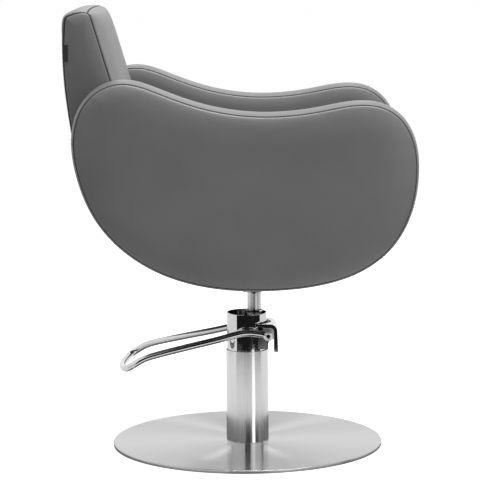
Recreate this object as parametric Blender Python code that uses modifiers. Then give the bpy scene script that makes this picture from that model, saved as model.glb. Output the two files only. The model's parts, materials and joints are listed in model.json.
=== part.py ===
"""Hairdressing chair: padded seat, back and bean shaped side panels on a hydraulic foot pump.

Metres, +Z up. The origin is on the floor on the axis of the base disc, +X is the front of the chair
and +Y is the sitter's left.
"""
import math

import bmesh
import bpy
import numpy as np
from mathutils import Matrix

# Clearances
CLEAR = 0.0003              # between pieces that touch or run in each other
PLAY = 0.0005               # between the fork's bar and the plunger that it presses

# Base disc
BASE_RADIUS = 0.290
BASE_PAD_THICKNESS = 0.0015
BASE_PAD_MARGIN = 0.006     # pad edge inside the cover's rim
BASE_PLATE_THICKNESS = 0.005
COVER_THICKNESS = 0.001
COVER_EDGE_RADIUS = 0.002
COVER_RIM_LIFT = 0.001      # rim above the floor
BASE_BOLT_RADIUS = 0.003
BASE_BOLT_HEAD_RADIUS = 0.006
BASE_BOLT_HEAD_HEIGHT = 0.003
BASE_BOLT_GRIP = 0.008      # thread in the tank's floor
BASE_BOLT_MARGIN = 0.012    # bolt axis inside the tank's outer wall

# Pump column, from its rod outwards
ROD_RADIUS = 0.015
ROD_OFFSET = 0.016          # rod axis in front of the column's axis
PISTON_STEP = 0.003         # piston radius over the rod's
CYLINDER_WALL = 0.0035
TANK_ROOM = 0.0015          # oil gap in front of the cylinder
TANK_WALL = 0.003
TANK_FLOOR = 0.013
HEAD_OVERHANG = 0.001       # head outside the tank's wall
HEAD_WALL = 0.002
HEAD_ROOF = 0.003
SLEEVE_GAP = 0.0015         # sleeve clear of the head
SLEEVE_WALL = 0.001
TANK_BELOW_SLEEVE = 0.002   # tank rim under the sleeve's top
HEAD_SHOW = 0.0806          # head above the sleeve's top
BLOCK_PLUG = 0.027          # valve block inside the tank
BLOCK_RIM = 0.0035          # valve block on the tank's rim
GLAND_RADIUS = 0.0178
GLAND_HEIGHT = 0.005
WIPER_WALL = 0.0012
WIPER_PROUD = 0.001

# Piston, and how far it lifts the seat
LIFT = 0.130
LIFT_ROOM = 0.0059          # piston under the valve block at full lift
PISTON_HEIGHT = 0.018
PISTON_REST = 0.004         # above the tank's floor
SEAL_DEPTH = 0.003
SEAL_HEIGHT = 0.005
STUD_RADIUS = 0.006
STUD_LENGTH = 0.011
ROD_CHAMFER = 0.0015

# Plunger pump behind the rod
PLUNGER_RADIUS = 0.007
PLUNGER_HEAD_RADIUS = 0.0115
PLUNGER_HEAD_HEIGHT = 0.006
PLUNGER_ROOM = 0.0024       # plunger above the barrel's end at full press
BARREL_WALL = 0.0037
BARREL_LENGTH = 0.0677
SPRING_WIRE_RADIUS = 0.0012
SPRING_ROOM = 0.0017        # spring clear of the plunger
SPRING_TURNS = 6.5
SPRING_POINTS_PER_TURN = 10
SPRING_POCKET = 0.012       # spring's seat sunk in the valve block
SPRING_POCKET_ROOM = 0.0007
RELEASE_SEAT_HEIGHT = 0.0217
RELEASE_PIN_RADIUS = 0.003
RELEASE_FLANGE_RADIUS = 0.005
RELEASE_FLANGE_HEIGHT = 0.0035

# Foot lever and what turns with it
PIVOT_STANDOFF = 0.0024     # pivot axis in front of the head
PIVOT_RISE = 0.037          # pivot axis above the sleeve's top
LEVER_PRESS = math.radians(20)
PIN_RADIUS = 0.004
PIN_RECESS = 0.0015         # pin ends inside the eyes' faces
EYE_RADIUS = 0.0105
EYE_WIDTH = 0.014
EYE_GAP = 0.0035            # between a guard ear and a lever eye
EAR_THICKNESS = 0.004
EAR_GAP = 0.0045            # between a bracket cheek and a guard ear
CHEEK_THICKNESS = 0.006
CHEEK_GAP = 0.0035          # between the fork's hub and a bracket cheek
FORK_HUB_RADIUS = 0.009
FORK_ARM_THICKNESS = 0.006
FORK_ARM_HEIGHT = 0.008
FORK_ROD_GAP = 0.004        # between the fork's arms and the rod
FORK_BAR_RADIUS = 0.005
FORK_BAR_RISE = 0.010       # fork's bar above the pivot
FORK_HUB_MARGIN = 0.0015    # hub past the fork's arms
WINDOW_MARGIN = 0.002       # head window past the fork's hub
WINDOW_ABOVE = 0.0185
WINDOW_BELOW = 0.0175
BUSH_WALL = 0.0022
BAR_RADIUS = 0.0075
GRUB_RADIUS = 0.0025
GUARD_THICKNESS = 0.0058
GUARD_TOP = 0.023           # above the pivot
GUARD_BACK = 0.0225         # behind the pivot
GUARD_FRONT = 0.0200        # in front of the pivot
GUARD_DROP = 0.0372         # below the pivot
GUARD_FLARE = 0.0012        # lower edge further out
GUARD_CORNER = 0.016
GUARD_HEAD_GAP = 0.0013     # guard clear of the head when the lever is down
BRACKET_DROP = 0.0325       # bracket foot below the pivot
BRACKET_SADDLE_HEIGHT = 0.013
BRACKET_SADDLE_THICKNESS = 0.0025
BRACKET_EYE_RADIUS = 0.0102

# Half of the lever's bar from its eye to the middle of the foot rest, as
# distance behind the pivot, outwards from the eye's middle, and above the pivot
LEVER_ROUTE = [
    (0.000, 0.000, 0.0000),
    (0.024, 0.0005, 0.0050),
    (0.050, 0.0020, 0.0066),
    (0.085, 0.0060, -0.0005),
    (0.165, 0.0165, -0.0183),
    (0.240, 0.0270, -0.0350),
    (0.266, 0.0305, -0.0430),
    (0.284, 0.0325, -0.0530),
    (0.300, 0.0255, -0.0625),
    (0.3065, 0.0090, -0.0660),
]
LEVER_POINTS = 25           # on each half of the bar

# Socket that carries the seat on the rod
ROD_SHOW = 0.0383           # rod between the gland and the socket
SOCKET_LENGTH = 0.0488
SOCKET_WALL = 0.0027
SOCKET_FLANGE_RADIUS = 0.050
SOCKET_FLANGE_THICKNESS = 0.006
SCREW_RISE = 0.0050         # set screws above the socket's lower edge
SCREW_RADIUS = 0.003
SCREW_HEAD_RADIUS = 0.0062
SCREW_HEAD_HEIGHT = 0.0048

# Steel frame under the seat
MOUNT_LENGTH = 0.220
MOUNT_WIDTH = 0.200
MOUNT_THICKNESS = 0.005
MOUNT_CORNER = 0.020
BOLT_SPREAD_X = 0.170
BOLT_SPREAD_Y = 0.150
BOLT_RADIUS = 0.0032
BOLT_HEAD_RADIUS = 0.0065
BOLT_HEAD_HEIGHT = 0.0045
BOLT_GRIP = 0.010           # in the seat board
BEARER_WIDTH = 0.030
BEARER_HEIGHT = 0.022
BEARER_WALL = 0.002
END_PLATE_LENGTH = 0.060
END_PLATE_HEIGHT = 0.0545
END_PLATE_THICKNESS = 0.003
PANEL_BOLT_RADIUS = 0.004
PANEL_BOLT_HEAD_RADIUS = 0.0065
PANEL_BOLT_HEAD_HEIGHT = 0.0045
PANEL_BOLT_DROP = 0.0085    # bolt axis under the end plate's top

# Seat, between the inner faces of the side panels
SEAT_WIDTH = 0.505
BOARD_THICKNESS = 0.015
BOARD_FRONT = 0.190
BOARD_BACK = -0.140
SEAT_SIDE_GAP = 0.0020      # cushion's widest line clear of a panel
SEAT_TUCK = 0.0100          # cushion's foot clear of a panel
SEAT_CORNER = 0.030
SEAT_THICKNESS = 0.087      # to the top of the sides
SEAT_WRAP = 0.012           # padding beside the board's edges
SEAT_CROWN = 0.017
SEAT_BACK_GAP = 0.0015      # cushion clear of the back
# Top of the cushion, as distance inside its edge and share of the crown
SEAT_DOME = [(0.012, 0.35), (0.040, 0.70), (0.085, 0.92), (0.140, 1.00)]
# Front of the cushion, as X and share of its side height
SEAT_NOSE = [(0.212, 0.00), (0.258, 0.35), (0.284, 0.64), (0.297, 0.86), (0.291, 1.00)]

# Side panels: outline of the crest of the boxing band, X and height above the seat frame
PANEL_THICKNESS = 0.073     # between its two seams
BAND_CROWN = 0.006          # crest of the band past the seams
FACE_CROWN = 0.0045
FACE_ROLL = 0.030           # width of the roll inside the outer seam
FACE_STEPS = [(0.12, 0.35), (0.45, 0.75), (1.0, 1.0)]   # share of the roll's width and of the crown
BAND_STEPS = (0.2, 0.5, 0.8)    # shares of the thickness
INNER_EDGE = 0.0015         # rounding of the inner face's edge
PANEL_POINTS = 80
PANEL_OUTLINE = [
    (0.036, -0.0010),
    (0.132, 0.0070),
    (0.228, 0.0360),
    (0.2915, 0.0840),
    (0.332, 0.1560),
    (0.3458, 0.2350),
    (0.339, 0.3010),
    (0.313, 0.3490),
    (0.273, 0.3750),
    (0.237, 0.3810),
    (0.150, 0.3695),
    (0.030, 0.3595),
    (-0.090, 0.3780),
    (-0.169, 0.4060),
    (-0.244, 0.4260),
    (-0.297, 0.4100),
    (-0.334, 0.3680),
    (-0.349, 0.2980),
    (-0.340, 0.2340),
    (-0.306, 0.1490),
    (-0.241, 0.0760),
    (-0.151, 0.0260),
    (-0.060, 0.0040),
]
CORE_THICKNESS = 0.018
CORE_INSET = 0.036          # core edge inside the band's crest
CORE_POINTS = 36

# Back
BACK_SIDE_GAP = 0.0175      # side seams clear of the side panels
BACK_SIDE_CROWN = 0.0045
BACK_LEAN = 0.294           # run of the front face for each unit of rise
BACK_FOOT = (-0.1605, 0.044)    # lower front edge, X and height above the seat frame
BACK_TOP = 0.5565           # front top edge above the seat frame
BACK_TOP_EDGE = [(-0.3190, 0.5588), (-0.3373, 0.5576)]   # domed top edge, from the front
BACK_CROWN = 0.0225
BACK_REAR_CROWN = 0.006
BACK_TOP_CROWN = 0.006
BACK_CROWN_START = 0.130    # height above the seat frame where the crown begins
BACK_CROWN_FULL = 0.270
BACK_REAR = [
    (-0.362, 0.5490),
    (-0.3665, 0.4700),
    (-0.3605, 0.3800),
    (-0.3500, 0.3050),
    (-0.3280, 0.2140),
    (-0.2890, 0.1420),
    (-0.2440, 0.0880),
    (-0.1980, 0.0560),
]
BACK_STEP = 0.030           # spacing of points along the front of the profile
BACK_REAR_POINTS = 18
BACK_TOP_FADE = 0.050       # height over which the crown falls to the top edge
BACK_SIDE_INSET = 0.010     # side face's edge inside the seam
BACK_SWELL = 0.6            # power of the swell across the width
BACK_STATIONS = (-1.0, -0.955, -0.85, -0.6, -0.3, 0.0, 0.3, 0.6, 0.85, 0.955, 1.0)  # shares of the half width
CORE_BOARD_THICKNESS = 0.012
CORE_BOARD_MARGIN = 0.065   # board's edges inside the side seams
CORE_BOARD_DEPTH = 0.036    # behind the front face
CORE_BOARD_LOW = 0.075      # ends of the board above the seat frame
CORE_BOARD_HIGH = 0.500
BACK_BAR_THICKNESS = 0.006
BACK_BAR_WIDTH = 0.040
BACK_BAR_SPREAD = 0.240     # between the two bars
BACK_BAR_HIGH = 0.280       # top of the bars above the seat frame
BACK_BAR_BEND = 0.018

# Sewn tag beside the rear seam of the back
TAG_LENGTH = 0.034
TAG_WIDTH = 0.0075
TAG_THICKNESS = 0.0012
TAG_INSET = 0.003           # inside the rear seam
TAG_DROP = 0.0555           # below the top of the rear seam

# Smoothness of round pieces
STEPS = 24
FINE_STEPS = 48
SMALL_STEPS = 12
SMOOTH_ANGLE = math.radians(35)

# Finishes: colour, roughness and metallic value
FINISHES = {
    "leatherette": ((0.115, 0.115, 0.118, 1.0), 0.55, 0.0),
    "chrome": ((0.78, 0.78, 0.79, 1.0), 0.08, 1.0),
    "stainless": ((0.62, 0.61, 0.60, 1.0), 0.30, 1.0),
    "steel": ((0.30, 0.30, 0.31, 1.0), 0.42, 1.0),
    "dark_steel": ((0.030, 0.030, 0.032, 1.0), 0.50, 0.6),
    "cast": ((0.055, 0.055, 0.058, 1.0), 0.60, 0.4),
    "bronze": ((0.42, 0.28, 0.12, 1.0), 0.35, 1.0),
    "rubber": ((0.018, 0.018, 0.018, 1.0), 0.85, 0.0),
    "plywood": ((0.52, 0.36, 0.20, 1.0), 0.70, 0.0),
    "tape": ((0.012, 0.012, 0.013, 1.0), 0.75, 0.0),
}

# Levels of the base and the column
PLATE_LOW = BASE_PAD_THICKNESS + CLEAR
PLATE_HIGH = PLATE_LOW + BASE_PLATE_THICKNESS
COVER_LOW = PLATE_HIGH + CLEAR
COVER_HIGH = COVER_LOW + COVER_THICKNESS
TANK_LOW = PLATE_HIGH + CLEAR
TANK_FLOOR_TOP = TANK_LOW + TANK_FLOOR
PISTON_LOW = TANK_FLOOR_TOP + PISTON_REST
PISTON_TOP = PISTON_LOW + PISTON_HEIGHT
BLOCK_LOW = PISTON_TOP + LIFT + LIFT_ROOM
TANK_TOP = BLOCK_LOW + BLOCK_PLUG
SLEEVE_LOW = COVER_HIGH + CLEAR
SLEEVE_TOP = TANK_TOP + TANK_BELOW_SLEEVE
HEAD_LOW = TANK_TOP + CLEAR
HEAD_TOP = SLEEVE_TOP + HEAD_SHOW
BLOCK_TOP = TANK_TOP + CLEAR + BLOCK_RIM
GLAND_LOW = HEAD_TOP + CLEAR
GLAND_TOP = GLAND_LOW + GLAND_HEIGHT

# Radii of the column
CYLINDER_BORE = ROD_RADIUS + PISTON_STEP
CYLINDER_RADIUS = CYLINDER_BORE + CYLINDER_WALL
TANK_BORE = ROD_OFFSET + CYLINDER_RADIUS + TANK_ROOM
TANK_RADIUS = TANK_BORE + TANK_WALL
HEAD_RADIUS = TANK_RADIUS + HEAD_OVERHANG
HEAD_BORE = HEAD_RADIUS - HEAD_WALL
SLEEVE_BORE = HEAD_RADIUS + SLEEVE_GAP
SLEEVE_RADIUS = SLEEVE_BORE + SLEEVE_WALL

# Plunger, midway between the cylinder and the tank's rear wall
PLUNGER_X = (ROD_OFFSET - CYLINDER_RADIUS - TANK_BORE) / 2
SPRING_RADIUS = PLUNGER_RADIUS + SPRING_ROOM + SPRING_WIRE_RADIUS
SPRING_POCKET_RADIUS = SPRING_RADIUS + SPRING_WIRE_RADIUS + SPRING_POCKET_ROOM
SPRING_LOW = BLOCK_TOP - SPRING_POCKET + CLEAR

# Pivot, and the stations of what lies along it
PIVOT_X = HEAD_RADIUS + PIVOT_STANDOFF
PIVOT_Z = SLEEVE_TOP + PIVOT_RISE
FORK_ARM_Y = ROD_RADIUS + FORK_ROD_GAP + FORK_ARM_THICKNESS / 2
FORK_END_Y = ROD_RADIUS + FORK_ROD_GAP + FORK_ARM_THICKNESS
FORK_HUB_Y = FORK_END_Y + FORK_HUB_MARGIN
CHEEK_Y = FORK_HUB_Y + CHEEK_GAP + CHEEK_THICKNESS / 2
EAR_Y = CHEEK_Y + CHEEK_THICKNESS / 2 + EAR_GAP + EAR_THICKNESS / 2
EYE_Y = EAR_Y + EAR_THICKNESS / 2 + EYE_GAP + EYE_WIDTH / 2
PIN_HALF = EYE_Y + EYE_WIDTH / 2 - PIN_RECESS
FORK_BAR_Z = PIVOT_Z + FORK_BAR_RISE
PLUNGER_TOP = FORK_BAR_Z - FORK_BAR_RADIUS - PLAY
PLUNGER_HEAD_LOW = PLUNGER_TOP - PLUNGER_HEAD_HEIGHT
PLUNGER_STROKE = (PIVOT_X - PLUNGER_X) * LEVER_PRESS
SPRING_HIGH = PLUNGER_HEAD_LOW - CLEAR
BARREL_RADIUS = PLUNGER_RADIUS + CLEAR + BARREL_WALL
BARREL_TOP = BLOCK_LOW - CLEAR
BARREL_LOW = BARREL_TOP - BARREL_LENGTH
PLUNGER_LOW = BARREL_LOW + PLUNGER_STROKE + PLUNGER_ROOM
RELEASE_TOP = BARREL_LOW - CLEAR
RELEASE_LOW = RELEASE_TOP - RELEASE_SEAT_HEIGHT

# Socket on the rod
SOCKET_LOW = GLAND_TOP + ROD_SHOW
SOCKET_TOP = SOCKET_LOW + SOCKET_LENGTH
ROD_TOP = SOCKET_TOP - SOCKET_FLANGE_THICKNESS - CLEAR

# Levels of the seat, all above the socket
FRAME_Z = SOCKET_TOP
MOUNT_LOW = FRAME_Z + CLEAR
MOUNT_HIGH = MOUNT_LOW + MOUNT_THICKNESS
BEARER_LOW = MOUNT_HIGH + CLEAR
BEARER_HIGH = BEARER_LOW + BEARER_HEIGHT
BOARD_LOW = BEARER_HIGH + CLEAR
PANEL_INNER = SEAT_WIDTH / 2
END_PLATE_Y = PANEL_INNER - CLEAR - END_PLATE_THICKNESS / 2
BOARD_HALF_WIDTH = PANEL_INNER - SEAT_TUCK - SEAT_WRAP
BACK_HALF_WIDTH = PANEL_INNER - BACK_SIDE_GAP
CORE_BOARD_HALF_WIDTH = BACK_HALF_WIDTH - CORE_BOARD_MARGIN
PANEL_BOLT_Z = BEARER_LOW + END_PLATE_HEIGHT - PANEL_BOLT_DROP
SEAT_LOW = BOARD_LOW
CORE_Y = PANEL_INNER + PANEL_THICKNESS / 2
BEARER_X = [ROD_OFFSET - BOLT_SPREAD_X / 2, ROD_OFFSET + BOLT_SPREAD_X / 2]
SIDES = {"right": -1, "left": 1}

TURN = {"X": (0, math.pi / 2, 0), "Y": (-math.pi / 2, 0, 0), "Z": (0, 0, 0)}


def start_scene():
    """Empty the scene and make one collection for the parts and one for the cutters."""
    for old in list(bpy.data.objects):
        bpy.data.objects.remove(old, do_unlink=True)
    made = []
    for name in ("hairdressing_chair", "cutters"):
        collection = bpy.data.collections.new(name)
        bpy.context.scene.collection.children.link(collection)
        made.append(collection)
    return made


PARTS, CUTTERS = start_scene()


def material(name, finish):
    """A material of its own for one piece."""
    colour, roughness, metallic = FINISHES[finish]
    made = bpy.data.materials.new(name)
    made.use_nodes = True
    shader = made.node_tree.nodes["Principled BSDF"]
    shader.inputs["Base Color"].default_value = colour
    shader.inputs["Roughness"].default_value = roughness
    shader.inputs["Metallic"].default_value = metallic
    made.diffuse_color = colour
    return made


def axis_empty(name, place):
    """An empty on a joint's axis, which carries the pieces that move."""
    empty = bpy.data.objects.new(name, None)
    empty.location = place
    empty.empty_display_size = 0.05
    PARTS.objects.link(empty)
    return empty


def add(name, data, finish=None, parent=None, place=(0, 0, 0), turn=(0, 0, 0)):
    """Put a mesh in the scene as a piece or, with no finish, as a cutter."""
    piece = bpy.data.objects.new(name, data)
    piece.location = place
    piece.rotation_euler = turn
    if finish is None:
        CUTTERS.objects.link(piece)
        piece.hide_render = True
        piece.display_type = "WIRE"
    else:
        PARTS.objects.link(piece)
        data.materials.append(material(name, finish))
    if parent is not None:
        piece.parent = parent
        piece.matrix_parent_inverse = Matrix.Translation(-parent.location)
    return piece


def mesh_from(bm, name):
    """A mesh from a bmesh, smooth but for its sharp edges."""
    bmesh.ops.recalc_face_normals(bm, faces=bm.faces)
    data = bpy.data.meshes.new(name)
    bm.to_mesh(data)
    bm.free()
    data.shade_smooth()
    data.set_sharp_from_angle(angle=SMOOTH_ANGLE)
    return data


def cylinder(name, radius, length, place, axis="Z", steps=STEPS, **look):
    """A solid cylinder about its middle."""
    bm = bmesh.new()
    bmesh.ops.create_cone(bm, cap_ends=True, segments=steps, radius1=radius, radius2=radius, depth=length)
    return add(name, mesh_from(bm, name), place=place, turn=TURN[axis], **look)


def box(name, size, place, corner=0.0, **look):
    """A block about its middle, with its upright edges rounded where a corner radius is given."""
    bm = bmesh.new()
    bmesh.ops.create_cube(bm, size=1.0)
    bmesh.ops.scale(bm, vec=size, verts=bm.verts)
    if corner:
        upright = [e for e in bm.edges if abs(e.verts[0].co.z - e.verts[1].co.z) > size[2] / 2]
        bmesh.ops.bevel(bm, geom=upright, offset=corner, segments=4, profile=0.5, affect="EDGES")
    return add(name, mesh_from(bm, name), place=place, **look)


def turned(name, profile, place, axis="Z", steps=STEPS, **look):
    """A profile of radius and height turned about its axis, as a ring unless it starts on the axis."""
    data = bpy.data.meshes.new(name)
    edges = [(i, i + 1) for i in range(len(profile) - 1)]
    if profile[0][0] > 0:
        edges.append((len(profile) - 1, 0))
    data.from_pydata([(radius, 0, height) for radius, height in profile], edges, [])
    piece = add(name, data, place=place, turn=TURN[axis], **look)
    screw = piece.modifiers.new("turn", "SCREW")
    screw.steps = steps
    screw.render_steps = steps
    screw.use_merge_vertices = True
    screw.merge_threshold = 0.00001
    return piece


def ring(name, bore, radius, length, place, axis="Z", **look):
    """A plain tube about its middle."""
    half = length / 2
    profile = [(radius, half), (radius, -half), (bore, -half), (bore, half)]
    return turned(name, profile, place, axis=axis, **look)


def curve_mesh(name, data):
    """The mesh of a curve, with its caps welded on."""
    holder = bpy.data.objects.new(name, data)
    CUTTERS.objects.link(holder)
    graph = bpy.context.evaluated_depsgraph_get()
    made = bpy.data.meshes.new_from_object(holder.evaluated_get(graph))
    bpy.data.objects.remove(holder, do_unlink=True)
    bpy.data.curves.remove(data)
    bm = bmesh.new()
    bm.from_mesh(made)
    bpy.data.meshes.remove(made)
    bmesh.ops.remove_doubles(bm, verts=bm.verts, dist=0.000001)
    return mesh_from(bm, name)


def tube(name, points, radius, sides=2, **look):
    """A round bar along a path of points."""
    data = bpy.data.curves.new(name, "CURVE")
    data.dimensions = "3D"
    data.bevel_depth = radius
    data.bevel_resolution = sides
    data.use_fill_caps = True
    path = data.splines.new("POLY")
    path.points.add(len(points) - 1)
    for point, place in zip(path.points, points):
        point.co = (*place, 1.0)
    return add(name, curve_mesh(name, data), **look)


def plate(name, outline, thickness, y, **look):
    """A flat outline of X and Z, extruded along Y about its middle."""
    data = bpy.data.curves.new(name, "CURVE")
    data.dimensions = "2D"
    data.fill_mode = "BOTH"
    data.extrude = thickness / 2
    path = data.splines.new("POLY")
    path.points.add(len(outline) - 1)
    path.use_cyclic_u = True
    for point, (x, z) in zip(path.points, outline):
        point.co = (x, z, 0.0, 1.0)
    return add(name, curve_mesh(name, data), place=(0, y, 0), turn=(math.pi / 2, 0, 0), **look)


def loft(name, rings, **look):
    """A closed body through rings of as many points each."""
    bm = bmesh.new()
    rows = [[bm.verts.new(point) for point in points] for points in rings]
    for row, after in zip(rows, rows[1:]):
        for i in range(len(row)):
            j = (i + 1) % len(row)
            bm.faces.new((row[i], row[j], after[j], after[i]))
    bm.faces.new(rows[0])
    bm.faces.new(rows[-1])
    return add(name, mesh_from(bm, name), **look)


def boolean(piece, tool, operation):
    """Cut or join a piece with a tool from the cutters."""
    step = piece.modifiers.new(tool.name, "BOOLEAN")
    step.operation = operation
    step.object = tool


def cut(piece, *tools):
    for tool in tools:
        boolean(piece, tool, "DIFFERENCE")


def join(piece, *tools):
    for tool in tools:
        boolean(piece, tool, "UNION")


def spline_points(points, count, closed):
    """Evenly spaced points on the cubic spline through the given points."""
    knots = np.array(points, dtype=float)
    if closed:
        knots = np.vstack([knots, knots[:1]])
    steps = np.linalg.norm(np.diff(knots, axis=0), axis=1)
    last = len(steps)
    system = np.zeros((last + 1, last + 1))
    right = np.zeros(knots.shape)
    for i in range(last + 1):
        if not closed and i in (0, last):
            system[i, i] = 1.0
            continue
        if closed and i == last:
            system[i, 0] = 1.0
            system[i, last] = -1.0
            continue
        before = steps[i - 1]
        after = steps[i % last]
        left = i - 1 if i > 0 else last - 1
        system[i, left] += before
        system[i, i] += 2 * (before + after)
        system[i, i + 1] += after
        right[i] = 6 * ((knots[i + 1] - knots[i]) / after - (knots[i] - knots[left]) / before)
    bend = np.linalg.solve(system, right)
    fine = []
    for i, step in enumerate(steps):
        for t in np.linspace(0, 1, 40, endpoint=False):
            a = 1 - t
            curve = ((a ** 3 - a) * bend[i] + (t ** 3 - t) * bend[i + 1]) * step ** 2 / 6
            fine.append(a * knots[i] + t * knots[i + 1] + curve)
    fine.append(knots[-1])
    fine = np.array(fine)
    run = np.concatenate([[0], np.cumsum(np.linalg.norm(np.diff(fine, axis=0), axis=1))])
    wanted = np.linspace(0, run[-1], count, endpoint=not closed)
    return np.stack([np.interp(wanted, run, fine[:, k]) for k in range(fine.shape[1])], axis=1)


def inset(loop, distance):
    """A loop of X and Z, anticlockwise seen from -Y, moved inwards square to itself."""
    along = np.roll(loop, -1, axis=0) - np.roll(loop, 1, axis=0)
    inward = np.stack([-along[:, 1], along[:, 0]], axis=1)
    inward /= np.linalg.norm(inward, axis=1)[:, None]
    return loop + np.asarray(distance).reshape(-1, 1) * inward


def at_y(loop, y):
    """Points in space of a loop of X and Z."""
    return [(x, y, z) for x, z in loop]


def arc(centre, radius, start, end, count):
    """Points on an arc, from one angle to another in degrees."""
    angles = np.radians(np.linspace(start, end, count))
    return [(centre[0] + radius * math.cos(a), centre[1] + radius * math.sin(a)) for a in angles]


def build_base():
    """Disc base: floor pad, steel plate, stainless cover and the bolts that hold the column."""
    pad_radius = BASE_RADIUS - BASE_PAD_MARGIN
    cylinder("base_pad", pad_radius, BASE_PAD_THICKNESS, (0, 0, BASE_PAD_THICKNESS / 2),
             steps=FINE_STEPS, finish="rubber")
    plate_radius = BASE_RADIUS - COVER_THICKNESS - COVER_EDGE_RADIUS
    plate_place = (0, 0, PLATE_LOW + BASE_PLATE_THICKNESS / 2)
    steel = cylinder("base_plate", plate_radius, BASE_PLATE_THICKNESS, plate_place, steps=FINE_STEPS,
                     finish="cast")
    edge = (BASE_RADIUS - COVER_EDGE_RADIUS, COVER_HIGH - COVER_EDGE_RADIUS)
    hole = SLEEVE_BORE
    profile = [(hole, COVER_HIGH)]
    profile += arc(edge, COVER_EDGE_RADIUS, 90, 0, 3)
    profile += [(BASE_RADIUS, COVER_RIM_LIFT), (BASE_RADIUS - COVER_THICKNESS, COVER_RIM_LIFT)]
    profile += arc(edge, COVER_EDGE_RADIUS - COVER_THICKNESS, 0, 90, 2)
    profile += [(hole, COVER_LOW)]
    turned("base_cover", profile, (0, 0, 0), steps=FINE_STEPS, finish="stainless")
    reach = TANK_RADIUS - BASE_BOLT_MARGIN
    holes = []
    for number, angle in enumerate((45, 135, 225, 315), start=1):
        x = reach * math.cos(math.radians(angle))
        y = reach * math.sin(math.radians(angle))
        head_low = PLATE_LOW
        head_high = head_low + BASE_BOLT_HEAD_HEIGHT
        tip = TANK_LOW + BASE_BOLT_GRIP
        profile = [(0, tip), (BASE_BOLT_RADIUS, tip), (BASE_BOLT_RADIUS, head_high),
                   (BASE_BOLT_HEAD_RADIUS, head_high), (BASE_BOLT_HEAD_RADIUS, head_low), (0, head_low)]
        turned(f"base_bolt_{number}", profile, (x, y, 0), steps=SMALL_STEPS, finish="steel")
        shank = BASE_BOLT_RADIUS + CLEAR
        head = BASE_BOLT_HEAD_RADIUS + CLEAR
        room = [(0, tip + CLEAR), (shank, tip + CLEAR), (shank, head_high + CLEAR), (head, head_high + CLEAR),
                (head, head_low - CLEAR), (0, head_low - CLEAR)]
        holes.append(turned(f"base_bolt_room_{number}", room, (x, y, 0), steps=SMALL_STEPS))
    cut(steel, *holes)
    return holes


def build_column(bolt_rooms):
    """Pump column: tank, sleeve, valve block, cylinders, head, gland and wiper."""
    profile = [(TANK_RADIUS, TANK_TOP), (TANK_RADIUS, TANK_LOW), (0, TANK_LOW)]
    profile = [(0, TANK_FLOOR_TOP), (TANK_BORE, TANK_FLOOR_TOP), (TANK_BORE, TANK_TOP)] + profile
    tank = turned("pump_tank", profile, (0, 0, 0), finish="cast")
    cut(tank, *bolt_rooms)
    ring("column_sleeve", SLEEVE_BORE, SLEEVE_RADIUS, SLEEVE_TOP - SLEEVE_LOW,
         (0, 0, (SLEEVE_TOP + SLEEVE_LOW) / 2), steps=FINE_STEPS, finish="stainless")

    rim = HEAD_BORE - CLEAR
    plug = TANK_BORE - CLEAR
    seat = TANK_TOP + CLEAR
    profile = [(0, BLOCK_TOP), (rim, BLOCK_TOP), (rim, seat), (plug, seat), (plug, BLOCK_LOW), (0, BLOCK_LOW)]
    block = turned("valve_block", profile, (0, 0, 0), finish="steel")
    middle = (BLOCK_TOP + BLOCK_LOW) / 2
    through = 2 * (BLOCK_TOP - BLOCK_LOW)
    cut(block,
        cylinder("rod_bore", ROD_RADIUS + CLEAR, through, (ROD_OFFSET, 0, middle)),
        cylinder("plunger_bore", PLUNGER_RADIUS + CLEAR, through, (PLUNGER_X, 0, middle)),
        cylinder("spring_pocket", SPRING_POCKET_RADIUS, 2 * SPRING_POCKET, (PLUNGER_X, 0, BLOCK_TOP)))

    low = TANK_FLOOR_TOP + CLEAR
    high = BLOCK_LOW - CLEAR
    ring("main_cylinder", CYLINDER_BORE, CYLINDER_RADIUS, high - low, (ROD_OFFSET, 0, (low + high) / 2),
         finish="steel")
    ring("plunger_barrel", PLUNGER_RADIUS + CLEAR, BARREL_RADIUS, BARREL_LENGTH,
         (PLUNGER_X, 0, BARREL_TOP - BARREL_LENGTH / 2), finish="steel")
    ring("release_seat", RELEASE_PIN_RADIUS + CLEAR, BARREL_RADIUS, RELEASE_SEAT_HEIGHT,
         (PLUNGER_X, 0, RELEASE_TOP - RELEASE_SEAT_HEIGHT / 2), finish="bronze")

    roof = HEAD_TOP - HEAD_ROOF
    edge = HEAD_WALL / 2
    profile = [(0, HEAD_TOP), (HEAD_RADIUS - edge, HEAD_TOP), (HEAD_RADIUS, HEAD_TOP - edge),
               (HEAD_RADIUS, HEAD_LOW), (HEAD_BORE, HEAD_LOW), (HEAD_BORE, roof), (0, roof)]
    head = turned("pump_head", profile, (0, 0, 0), steps=FINE_STEPS, finish="chrome")
    window_low = PIVOT_Z - WINDOW_BELOW
    window_high = PIVOT_Z + WINDOW_ABOVE
    window = (HEAD_RADIUS, 2 * (FORK_HUB_Y + WINDOW_MARGIN), window_high - window_low)
    cut(head,
        cylinder("head_bore", ROD_RADIUS + CLEAR, 4 * HEAD_ROOF, (ROD_OFFSET, 0, HEAD_TOP)),
        box("head_window", window, (HEAD_RADIUS, 0, (window_low + window_high) / 2)))
    gland_bore = ROD_RADIUS + CLEAR + WIPER_WALL
    gland_middle = GLAND_LOW + GLAND_HEIGHT / 2
    ring("rod_gland", gland_bore + CLEAR, GLAND_RADIUS, GLAND_HEIGHT, (ROD_OFFSET, 0, gland_middle),
         finish="chrome")
    ring("wiper_seal", ROD_RADIUS + CLEAR, gland_bore, GLAND_HEIGHT + WIPER_PROUD,
         (ROD_OFFSET, 0, gland_middle + WIPER_PROUD / 2), finish="rubber")


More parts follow.
